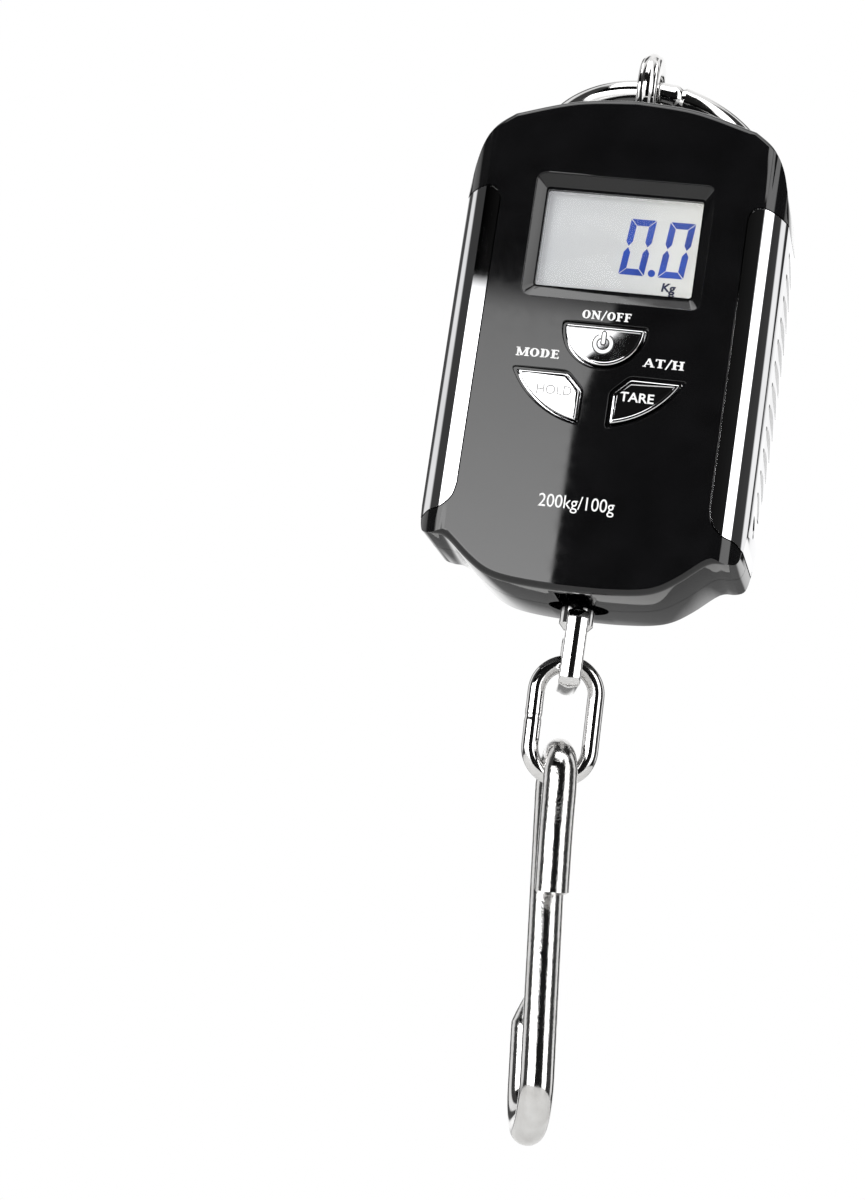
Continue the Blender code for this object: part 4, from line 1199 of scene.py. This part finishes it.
def make_world():
    """A white studio: open dark front, softboxes at its sides, white behind.

    Directions are an azimuth, 0 in front of the display and positive to
    the right, and an elevation.
    """
    world = bpy.data.worlds.new("studio")
    bpy.context.scene.world = world
    world.use_nodes = True
    tree = world.node_tree
    tree.nodes.clear()
    build = Nodes(tree)
    ray = build.add("ShaderNodeTexCoord").outputs["Generated"]
    split = build.add("ShaderNodeSeparateXYZ", {"Vector": ray})
    x, y, z = split.outputs
    azimuth = build.maths("ARCTAN2", x, build.maths("MULTIPLY", y, -1.0))
    degrees = build.maths("MULTIPLY", azimuth, 180 / math.pi)
    elevation = build.maths("MULTIPLY", build.maths("ARCSINE", z), 180 / math.pi)
    turn = build.spread(degrees, 0.0, 1.0, start=-180, end=180)
    bands = build.ramp(turn, [((angle + 180) / 360, grey(level)) for angle, level in BANDS])
    bands = build.maths("MULTIPLY", bands, STRIP / max(level for _, level in BANDS))
    ceiling = build.spread(elevation, 0.0, 1.0, start=50, end=62)
    level = build.maths("MAXIMUM", bands, ceiling)
    slant = build.maths("MAXIMUM", build.maths("SUBTRACT", elevation, 14.2), 0.0)
    edge = build.maths("SUBTRACT", build.maths("ADD", slant, -10.25), degrees)
    box_right = build.spread(edge, 0.0, 1.0, start=0.0, end=0.25)
    box_left = build.spread(degrees, 0.0, 1.0, start=-62, end=-58)
    box_top = build.spread(elevation, 1.0, 0.0, start=16.0, end=16.6)
    box_fade = build.spread(elevation, 1.0, 0.5, start=9, end=18)
    box_low = build.spread(elevation, 0.0, 1.0, start=-30, end=-22)
    softbox = SOFTBOX
    for part in (box_right, box_left, box_top, box_low, box_fade):
        softbox = build.maths("MULTIPLY", part, softbox)
    level = build.maths("MAXIMUM", level, softbox)
    level = build.maths("MULTIPLY", level, build.spread(elevation, 0.22, 1.0, start=-8, end=-1))
    white = (1.0, 1.0, 1.0, 1.0)
    lit = build.add("ShaderNodeBackground", {"Color": white, "Strength": level}).outputs[0]
    plain = build.add("ShaderNodeBackground", {"Color": white, "Strength": WHITE}).outputs[0]
    seen = build.add("ShaderNodeLightPath").outputs["Is Camera Ray"]
    mixed = build.add("ShaderNodeMixShader", {0: seen, 1: lit, 2: plain}).outputs[0]
    build.add("ShaderNodeOutputWorld", {"Surface": mixed})


def make_floor():
    """A pale studio floor just below the hook."""
    half = 0.7
    height = cad_box[0][2] / MM - 80
    mesh = box("floor", (-half / MM, -half / MM, height - 4), (half / MM, half / MM, height))
    floor = placed("floor", mesh)
    mesh.materials.append(finish("pale_floor", (0.80, 0.80, 0.79), (0.86, 0.86, 0.85),
                                 (0.55, 0.7), scale=9, bump=0.02))


def make_lights():
    """A broad overhead light for the matt surfaces."""
    data = bpy.data.lights.new("overhead", "AREA")
    data.shape = "RECTANGLE"
    data.size = 1.2
    data.size_y = 0.9
    data.energy = 9.0
    lamp = placed("overhead", data)
    lamp.location = (-0.25, -0.55, 1.15)
    aim = Vector((0, 0, -0.08)) - lamp.location
    lamp.rotation_euler = aim.to_track_quat("-Z", "Y").to_euler()


CAMERA_AIM = Vector((0, 0, -0.075))
CAMERA_DISTANCE = 0.700
CAMERA_YAW = math.radians(8.617)
CAMERA_ELEVATION = math.radians(-14.638)
CAMERA_ROLL = math.radians(7.845)
CAMERA_PAN = math.radians(3.358)
CAMERA_NOD = math.radians(-3.874)
CAMERA_LENS = 89.6


def pivoted(first, second, angle):
    """Turn two square axes in their own plane, the first towards the second."""
    return (first * math.cos(angle) + second * math.sin(angle),
            second * math.cos(angle) - first * math.sin(angle))


def make_camera():
    """Low and to the right, leaning, with the casing above the centre."""
    back = Vector((math.sin(CAMERA_YAW) * math.cos(CAMERA_ELEVATION),
                   -math.cos(CAMERA_YAW) * math.cos(CAMERA_ELEVATION),
                   math.sin(CAMERA_ELEVATION)))
    ahead = -back
    right = ahead.cross(Vector((0, 0, 1))).normalized()
    up = right.cross(ahead)
    right, up = pivoted(right, up, CAMERA_ROLL)
    right, ahead = pivoted(right, ahead, CAMERA_PAN)
    ahead, up = pivoted(ahead, up, CAMERA_NOD)
    data = bpy.data.cameras.new("camera")
    data.lens = CAMERA_LENS
    data.sensor_width = 36.0
    data.sensor_fit = "AUTO"
    camera = placed("camera", data)
    turn = Matrix((right, up, -ahead)).transposed()
    camera.matrix_world = Matrix.Translation(CAMERA_AIM + back * CAMERA_DISTANCE) @ turn.to_4x4()
    bpy.context.scene.camera = camera


# ---------------------------------------------------------------- CAD nodes

CAD_FINISHES = {
    "battery_door": "black", "lcd_panel": "lcd", "lcd_frame": "light",
    "backlight_panel": "light", "zebra_strip": "rubber", "main_board": "board",
    "converter_chip": "chip", "controller_chip": "chip", "power_switch": "chip",
    "hold_switch": "chip", "tare_switch": "chip", "load_cell": "aluminium",
    "strain_gauge_upper": "gauge", "strain_gauge_lower": "gauge", "gauge_cable": "light",
    "battery_wire_red": "red", "battery_wire_black": "wire", "battery_cell_1": "battery",
    "battery_cell_2": "battery",
}


def finish_cad_nodes(looks):
    """Give every node that stays visible its own finish; the rest are steel."""
    for name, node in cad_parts.items():
        look = looks[CAD_FINISHES.get(name, "steel")]
        node.data.materials.clear()
        node.data.materials.append(look)


def main():
    bpy.context.scene.view_settings.view_transform = "Standard"
    make_camera()
    looks = make_looks()
    finish_cad_nodes(looks)
    hollow = hollow_casing()
    make_front_shell(looks, hollow.copy())
    make_rear_shell(looks, hollow.copy())
    make_grips(looks)
    make_keys(looks)
    make_lettering(looks)
    make_display(looks)
    make_eyes(looks)
    make_ring(looks)
    make_link(looks)
    make_hook(looks)
    make_world()
    make_floor()
    make_lights()


main()
